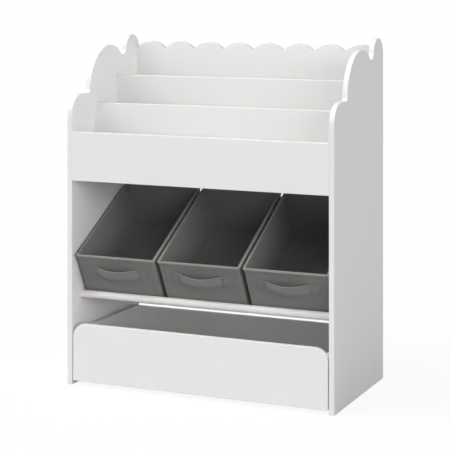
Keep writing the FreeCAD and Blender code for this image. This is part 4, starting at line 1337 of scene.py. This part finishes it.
def strap_seams(surface, tray, settings):
    """Thread on a handle: a line along both edges, and a crossed square on each tab."""
    points, normals = strap_frame(tray)
    inset, width = STRAP_SEAM
    reach = HANDLE_BAND / 2 - inset
    loop = strap_share(points)
    face = points + normals * (HANDLE_THICKNESS / 2 * 1.04)

    def on_face(x, up):
        share = np.interp(x, points[:, 0], loop)
        flat = np.column_stack([np.interp(x, points[:, 0], face[:, 0]),
                                np.interp(x, points[:, 0], face[:, 1]),
                                HANDLE_LEVEL + up - STRAP_DROOP * share])
        flat[:, 1] += STRAP_CUP * share * (up / (HANDLE_BAND / 2)) ** 2
        way = np.column_stack([np.interp(x, points[:, 0], normals[:, axis]) for axis in range(3)])
        return flat, way

    inner = HANDLE_HALF_LOOP + 2 * MM
    outer = HANDLE_HALF_LOOP + HANDLE_TAB - 2 * MM
    x = np.linspace(-inner + 3 * MM, inner - 3 * MM, 80)
    for side in SIDES:
        stitches(surface, *on_face(x, np.full(len(x), side * reach)), settings.stitch * 0.8, width)
        corners = [((inner, -reach), (outer, -reach)), ((outer, -reach), (outer, reach)),
                   ((outer, reach), (inner, reach)), ((inner, reach), (inner, -reach)),
                   ((inner, -reach), (outer, reach)), ((inner, reach), (outer, -reach))]
        for (x0, v0), (x1, v1) in corners:
            share = np.linspace(0.03, 0.97, 12)
            line = on_face(side * (x0 + (x1 - x0) * share), v0 + (v1 - v0) * share)
            stitches(surface, *line, settings.stitch * 0.8, width)


def tray_seams(surface, tray, settings):
    """Thread on a tray: a line low on the rim, outside and in, and a line up each side of every
    corner."""
    normals = np.column_stack([tray.normals, np.zeros(len(tray.normals))])
    level = tray.height - settings.binding + 2.8 * MM
    stitches(surface, tray.ring(0.05 * MM - RIM_PROUD, level), normals, settings.stitch, THREAD,
             closed=True)
    stitches(surface, tray.ring(tray.wall + 0.25 * MM, level, INNER_SWELL), -normals, settings.stitch,
             THREAD, closed=True)
    heights = np.linspace(4 * MM, tray.height - settings.binding - 3 * MM, 40)
    for way in ((0, -1), (0, 1), (-1, 0), (1, 0)):
        facing = np.flatnonzero(tray.normals @ np.array(way) > 0.9999)
        across = tray.outline[facing] @ np.array([abs(way[1]), abs(way[0])])
        for target in (across.min() + 3.2 * MM, across.max() - 3.2 * MM):
            index = facing[np.argmin(np.abs(across - target))]
            line = np.stack([tray.ring(-0.05 * MM, height)[index] for height in heights])
            stitches(surface, line, np.tile(normals[index], (len(line), 1)), settings.stitch, THREAD)


class ORGANIZER_OT_bins(bpy.types.Operator):
    """Make the three fabric bins: shell, rolled rim, insert and seams"""
    bl_idname = "organizer.bins"
    bl_label = "Fabric bins"

    def execute(self, context):
        """Each bin is made level at the origin and set in its place."""
        settings = context.scene.organizer_bins
        cloth = cloth_material("bin_cloth", settings, 1.0, 0.45)
        # painted light: the rim's tape is the same cloth made 12 percent lighter, for its lit top
        tape = cloth_material("bin_tape", settings, 1.12, 0.35)
        thread = thread_material(settings)
        for number in BINS:
            tray = bin_tray(number, settings)
            body = "bin_%d" % number
            place(moved_in_bin(tray.shell(BIN_WALL), number).mesh("shell"), body + "_fabric", cloth, body,
                  [body + "_shell"])
            place(moved_in_bin(tray.rim(settings.binding, RIM_PROUD), number).mesh("rim"),
                  body + "_rolled_rim", tape, body)
            seams = Surface()
            tray_seams(seams, tray, settings)
            place(moved_in_bin(seams, number).mesh("seams"), body + "_seams", thread, body)

            def turn(u, v, w):
                return in_bin(np.stack([u, v, w], -1), number)
            edge = BIN_WALL + INSERT_GAP
            half = tray.high[0] - edge
            outline = rounded_rectangle((-half, edge), (half, BIN_LENGTH - edge), (3 * MM,) * 4, 20 * MM)
            board = eased_board(outline, 1.0 * MM, BIN_WALL + 0.1 * MM, BIN_WALL + 2.5 * MM, turn)
            place(board, body + "_bottom_insert", cloth, body, [body + "_insert"],
                  sharp=CREASE)
        return {"FINISHED"}


class ORGANIZER_OT_handles(bpy.types.Operator):
    """Make the sewn strap handles of the bins"""
    bl_idname = "organizer.handles"
    bl_label = "Strap handles"

    def execute(self, context):
        """A strap and its thread for each bin."""
        settings = context.scene.organizer_bins
        # painted light: the strap is the same cloth made 6 percent lighter, for its lit faces
        cloth = cloth_material("strap_cloth_painted_lighter", settings, 1.06, 0.45)
        thread = thread_material(settings)
        for number in BINS:
            tray = bin_tray(number, settings)
            body = "bin_%d" % number
            place(moved_in_bin(strap(tray), number).mesh("strap"), body + "_strap", cloth, body,
                  [body + "_handle"])
            seams = Surface()
            strap_seams(seams, tray, settings)
            place(moved_in_bin(seams, number).mesh("seams"), body + "_strap_seams", thread, body)
        return {"FINISHED"}


# ---------------------------------------------------------------- drawer
def base_screw_bores(joints, under, fits):
    """Bores for the drawer's base screws in the board whose lower face they enter, for the
    screws that fit it."""
    rise = BASE_SCREW[1] - (joints["foot"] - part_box("drawer_base")[0].z) + CUT_PAST
    return [((x, y, under - CUT_PAST), 2, SCREW_BORE, rise) for x, y in joints["base_screws"] if fits(x)]


def drawer_face(joints, easing):
    """The face board, with two large upper corners and the bores of its bolts and dowels."""
    low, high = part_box("drawer_front")
    outline = board_outline("drawer_front", (0, 2), (DRAWER_FOOT,) * 2 + (DRAWER_CORNER,) * 2)
    start = joints["front"] + CUT_PAST
    holes = [((side * joints["middle"], start, joints["cam"]), 1, CAM_BOLT[0], -CAM_BOLT[1] - CUT_PAST)
             for side in SIDES]
    holes += [((side * joints["middle"], start, z), 1, DOWEL[0], -DOWEL[1] - CUT_PAST)
              for side in SIDES for z in joints["dowels"]]
    return cut_away(eased_board(outline, easing, low.y, high.y, flat_xz), [bores(holes)])


def drawer_side(name, side, joints, easing):
    """A side board with its bolt's channel, dowel and screw bores and the pocket of its cam."""
    low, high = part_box(name)
    middle, outer = side * joints["middle"], side * (joints["outer"] + CUT_PAST)
    start = joints["front"] - CUT_PAST
    channels = [((middle, start, joints["cam"]), 1, CAM_CHANNEL, CAM_DISTANCE + CUT_PAST)]
    channels += [((middle, start, z), 1, DOWEL[0], DOWEL[2] + CUT_PAST) for z in joints["dowels"]]
    channels += base_screw_bores(joints, low.z, lambda x: math.isclose(x, middle))
    channels += [((outer, joints["back"], z), 0, SCREW_BORE, -side * (high.x - low.x + 2 * CUT_PAST))
                 for z in joints["side_screws"]]
    pocket = [((outer, joints["front"] + CAM_DISTANCE, joints["cam"]), 0, CAM_RADIUS + POCKET_SLACK,
               -side * (CAM_DEPTH + CUT_PAST))]
    board = eased_board(board_outline(name, (1, 2)), easing, low.x, high.x, flat_yz)
    return cut_away(board, [bores(channels), bores(pocket)])


def drawer_rear(joints, easing):
    """The back board with the bores of the screws in its ends and from below."""
    low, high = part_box("drawer_back")
    depth = SIDE_SCREW[1] - (joints["outer"] - high.x) + CUT_PAST
    holes = [((side * (high.x + CUT_PAST), joints["back"], z), 0, SCREW_BORE, -side * depth)
             for side in SIDES for z in joints["side_screws"]]
    holes += base_screw_bores(joints, low.z, lambda x: abs(x) < high.x)
    board = eased_board(board_outline("drawer_back", (0, 2)), easing, low.y, high.y, flat_xz)
    return cut_away(board, [bores(holes)])


def drawer_bottom(joints):
    """The base board: through bores for its own screws, blind ones for the casters' screws."""
    low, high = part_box("drawer_base")
    through = high.z - low.z + 2 * CUT_PAST
    blind = CASTER_SCREW[1] - BRACKET_STEEL + CUT_PAST
    holes = [((x, y, low.z - CUT_PAST), 2, SCREW_BORE, through) for x, y in joints["base_screws"]]
    holes += [((x, y, low.z - CUT_PAST), 2, SCREW_BORE, blind) for x, y, _ in caster_screws()]
    board = eased_board(board_outline("drawer_base", (0, 1)), BASE_EASING, low.z, high.z, flat_xy)
    return cut_away(board, [bores(holes)])


class ORGANIZER_OT_drawer(bpy.types.Operator):
    """Make the drawer: its face, two sides, back and base"""
    bl_idname = "organizer.drawer"
    bl_label = "Rolling drawer"

    def execute(self, context):
        """Exposed edges are rounded; those that meet another board stay crisp."""
        settings = context.scene.organizer_boards
        joints = drawer_joints()
        upward = eased_where((0, 1), settings.easing)
        place_board(drawer_face(joints, settings.easing), "drawer_face", "drawer", "drawer_front", settings)
        for side, name in ((-1, "drawer_left_side"), (1, "drawer_right_side")):
            board = drawer_side(name, side, joints, upward)
            place_board(board, name + "_board", "drawer", name, settings)
        place_board(drawer_rear(joints, upward), "drawer_back_board", "drawer", "drawer_back", settings)
        place_board(drawer_bottom(joints), "drawer_base_board", "drawer", "drawer_base", settings)
        return {"FINISHED"}


class ORGANIZER_OT_casters(bpy.types.Operator):
    """Make the four fixed casters under the drawer"""
    bl_idname = "organizer.casters"
    bl_label = "Casters"

    def execute(self, context):
        """Wheels and axles are turned; brackets keep their packed form in plated steel."""
        steel = metal_material("bracket_steel", (0.52, 0.52, 0.54), (900.0, 90.0, 900.0), 0.38)
        zinc = zinc_material()
        plastic = wheel_material()
        for corner in CORNERS:
            low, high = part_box("caster_wheel_" + corner)
            half, radius = (high.x - low.x) / 2, (high.z - low.z) / 2
            centre = ((low.x + high.x) / 2, (low.y + high.y) / 2, (low.z + high.z) / 2)
            bore, hub, web, rim = 2.05 * MM, 5 * MM, half - 1.6 * MM, radius - 3.2 * MM
            lip, ease, shoulder = 0.3 * MM, 0.4 * MM, 1.5 * MM
            t = np.linspace(0, math.pi / 2, 5)
            tread = [(half - shoulder * (1 - math.sin(a)), radius - shoulder * (1 - math.cos(a))) for a in t]
            face = [(half - lip, bore), (half, bore + lip), (half, hub - ease), (half - ease, hub),
                    (web + ease, hub + lip), (web, hub + 2 * ease), (web, rim - 2 * ease),
                    (web + ease, rim - lip), (half - ease, rim), (half, rim + ease)] + tread[::-1]
            other = [(-along, out) for along, out in face[::-1]]
            surface = Surface()
            turned(surface, face + [(0, radius)] + other + face[:1], centre, 0, 64)
            place(surface.mesh("wheel"), "wheel_" + corner, plastic, "wheel_" + corner,
                  ["caster_wheel_" + corner], sharp=TURNED_CREASE)

            low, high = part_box("caster_axle_" + corner)
            reach, head = (high.x - low.x) / 2, (high.z - low.z) / 2
            cap, shank = 1 * MM, 2 * MM
            t = np.linspace(0, math.pi / 2, 7)
            dome = [(reach - cap * (1 - math.cos(a)), head * math.sin(a)) for a in t]
            end = dome + [(reach - cap, shank)]
            surface = Surface()
            turned(surface, end + [(-along, out) for along, out in end[::-1]], centre, 0, 28)
            place(surface.mesh("axle"), "axle_" + corner, zinc, "drawer", ["caster_axle_" + corner],
                  sharp=TURNED_CREASE)
            handed_over(["caster_bracket_" + corner], steel)
        return {"FINISHED"}


# ---------------------------------------------------------------- studio
def heading(azimuth, elevation):
    """The unit vector of a direction in degrees: azimuth from the front towards the right."""
    a, e = math.radians(azimuth), math.radians(elevation)
    return (math.sin(a) * math.cos(e), -math.cos(a) * math.cos(e), math.sin(e))


def lobe(graph, way, toward, strength, power=12.0):
    """Light from one direction: s max(0, d . t)^n for a view direction d."""
    facing = graph.add("ShaderNodeVectorMath", {0: way, 1: toward}, operation="DOT_PRODUCT").outputs["Value"]
    return graph.math("MULTIPLY", graph.math("POWER", graph.math("MAXIMUM", facing, 0.0), power), strength)


class ORGANIZER_OT_studio(bpy.types.Operator):
    """Make the floor, the light and the camera"""
    bl_idname = "organizer.studio"
    bl_label = "Studio"

    def execute(self, context):
        """The floor is white to the camera and keeps a faint shadow; the light comes from wide
        soft lobes round the room."""
        settings = context.scene.organizer_studio
        scene = context.scene
        scene.view_settings.view_transform = "Standard"

        surface = Surface()
        span = np.linspace(-FLOOR_REACH, FLOOR_REACH, 19)
        x, y = np.meshgrid(span, span)
        surface.grid(np.stack([x, y, 0 * x], -1))
        floor = bpy.data.objects.new("floor", surface.mesh("floor"))
        scene.collection.objects.link(floor)
        if floor.data.polygons[0].normal.z < 0:
            floor.data.flip_normals()
        pale = bpy.data.materials.new("studio_floor")
        pale.use_nodes = True
        graph = Graph(pale.node_tree)
        pale.node_tree.nodes.clear()
        seen = graph.add("ShaderNodeLightPath").outputs["Is Camera Ray"]
        colour = graph.mix(seen, (settings.floor_light,) * 3 + (1.0,), rgba(settings.floor))
        plain = graph.add("ShaderNodeBsdfDiffuse", {"Color": colour}).outputs[0]
        white = graph.add("ShaderNodeEmission", {"Color": (1, 1, 1, 1), "Strength": 1.0}).outputs[0]
        share = graph.math("MULTIPLY", seen, FLOOR_WHITE)
        both = graph.add("ShaderNodeMixShader", {0: share, 1: plain, 2: white})
        graph.add("ShaderNodeOutputMaterial", {"Surface": both.outputs[0]})
        floor.data.materials.append(pale)

        world = bpy.data.worlds.new("studio")
        scene.world = world
        world.use_nodes = True
        world.node_tree.nodes.clear()
        graph = Graph(world.node_tree)
        way = graph.add("ShaderNodeTexCoord").outputs["Generated"]
        strength = 0.0
        for name, (azimuth, elevation) in LOBES.items():
            light = lobe(graph, way, heading(azimuth, elevation), getattr(settings, name))
            strength = graph.math("ADD", light, strength)
        lit = graph.add("ShaderNodeBackground", {"Color": (1, 1, 1, 1), "Strength": strength}).outputs[0]
        white = graph.add("ShaderNodeBackground", {"Color": (1, 1, 1, 1), "Strength": 1.0}).outputs[0]
        seen = graph.add("ShaderNodeLightPath").outputs["Is Camera Ray"]
        both = graph.add("ShaderNodeMixShader", {0: seen, 1: lit, 2: white})
        graph.add("ShaderNodeOutputWorld", {"Surface": both.outputs[0]})

        camera = bpy.data.cameras.new("camera")
        camera.lens, camera.sensor_width, camera.shift_y = CAMERA_LENS
        camera.clip_start, camera.clip_end = 0.1, 300
        eye = bpy.data.objects.new("camera", camera)
        scene.collection.objects.link(eye)
        eye.location = CAMERA_PLACE
        eye.rotation_euler = (math.pi / 2, 0, CAMERA_TURN)
        scene.camera = eye
        return {"FINISHED"}


class ORGANIZER_PT_panel(bpy.types.Panel):
    """Lists the organizer's settings and the steps that make it"""
    bl_idname = "ORGANIZER_PT_panel"
    bl_label = "Toy Storage Organizer"
    bl_space_type = "VIEW_3D"
    bl_region_type = "UI"
    bl_category = "Organizer"

    def draw(self, context):
        """Settings first, then one button for each step."""
        for group_name in ("organizer_boards", "organizer_bins", "organizer_studio"):
            settings = getattr(context.scene, group_name)
            box = self.layout.box()
            for name in settings.__annotations__:
                box.prop(settings, name)
        for step in STEPS:
            self.layout.operator(step.bl_idname)


GROUPS = {"organizer_boards": OrganizerBoards, "organizer_bins": OrganizerBins,
          "organizer_studio": OrganizerStudio}
STEPS = (ORGANIZER_OT_panels, ORGANIZER_OT_tiers, ORGANIZER_OT_back, ORGANIZER_OT_rails,
         ORGANIZER_OT_fixings, ORGANIZER_OT_bins, ORGANIZER_OT_handles, ORGANIZER_OT_drawer,
         ORGANIZER_OT_casters, ORGANIZER_OT_studio)
CLASSES = (*GROUPS.values(), *STEPS, ORGANIZER_PT_panel)


def register():
    """Makes the classes and settings known."""
    for item in CLASSES:
        bpy.utils.register_class(item)
    for name, kind in GROUPS.items():
        setattr(bpy.types.Scene, name, bpy.props.PointerProperty(type=kind))


def unregister():
    """Takes the settings and classes away again."""
    for name in GROUPS:
        delattr(bpy.types.Scene, name)
    for item in reversed(CLASSES):
        bpy.utils.unregister_class(item)


def main():
    """Clears the start scene and runs every step in order."""
    for item in [o for o in bpy.data.objects if o.type in ("CAMERA", "LIGHT") or o.name == "Cube"]:
        bpy.data.objects.remove(item)
    register()
    bpy.ops.organizer.panels()
    bpy.ops.organizer.tiers()
    bpy.ops.organizer.back()
    bpy.ops.organizer.rails()
    bpy.ops.organizer.fixings()
    bpy.ops.organizer.bins()
    bpy.ops.organizer.handles()
    bpy.ops.organizer.drawer()
    bpy.ops.organizer.casters()
    bpy.ops.organizer.studio()


if __name__ == "__main__":
    main()
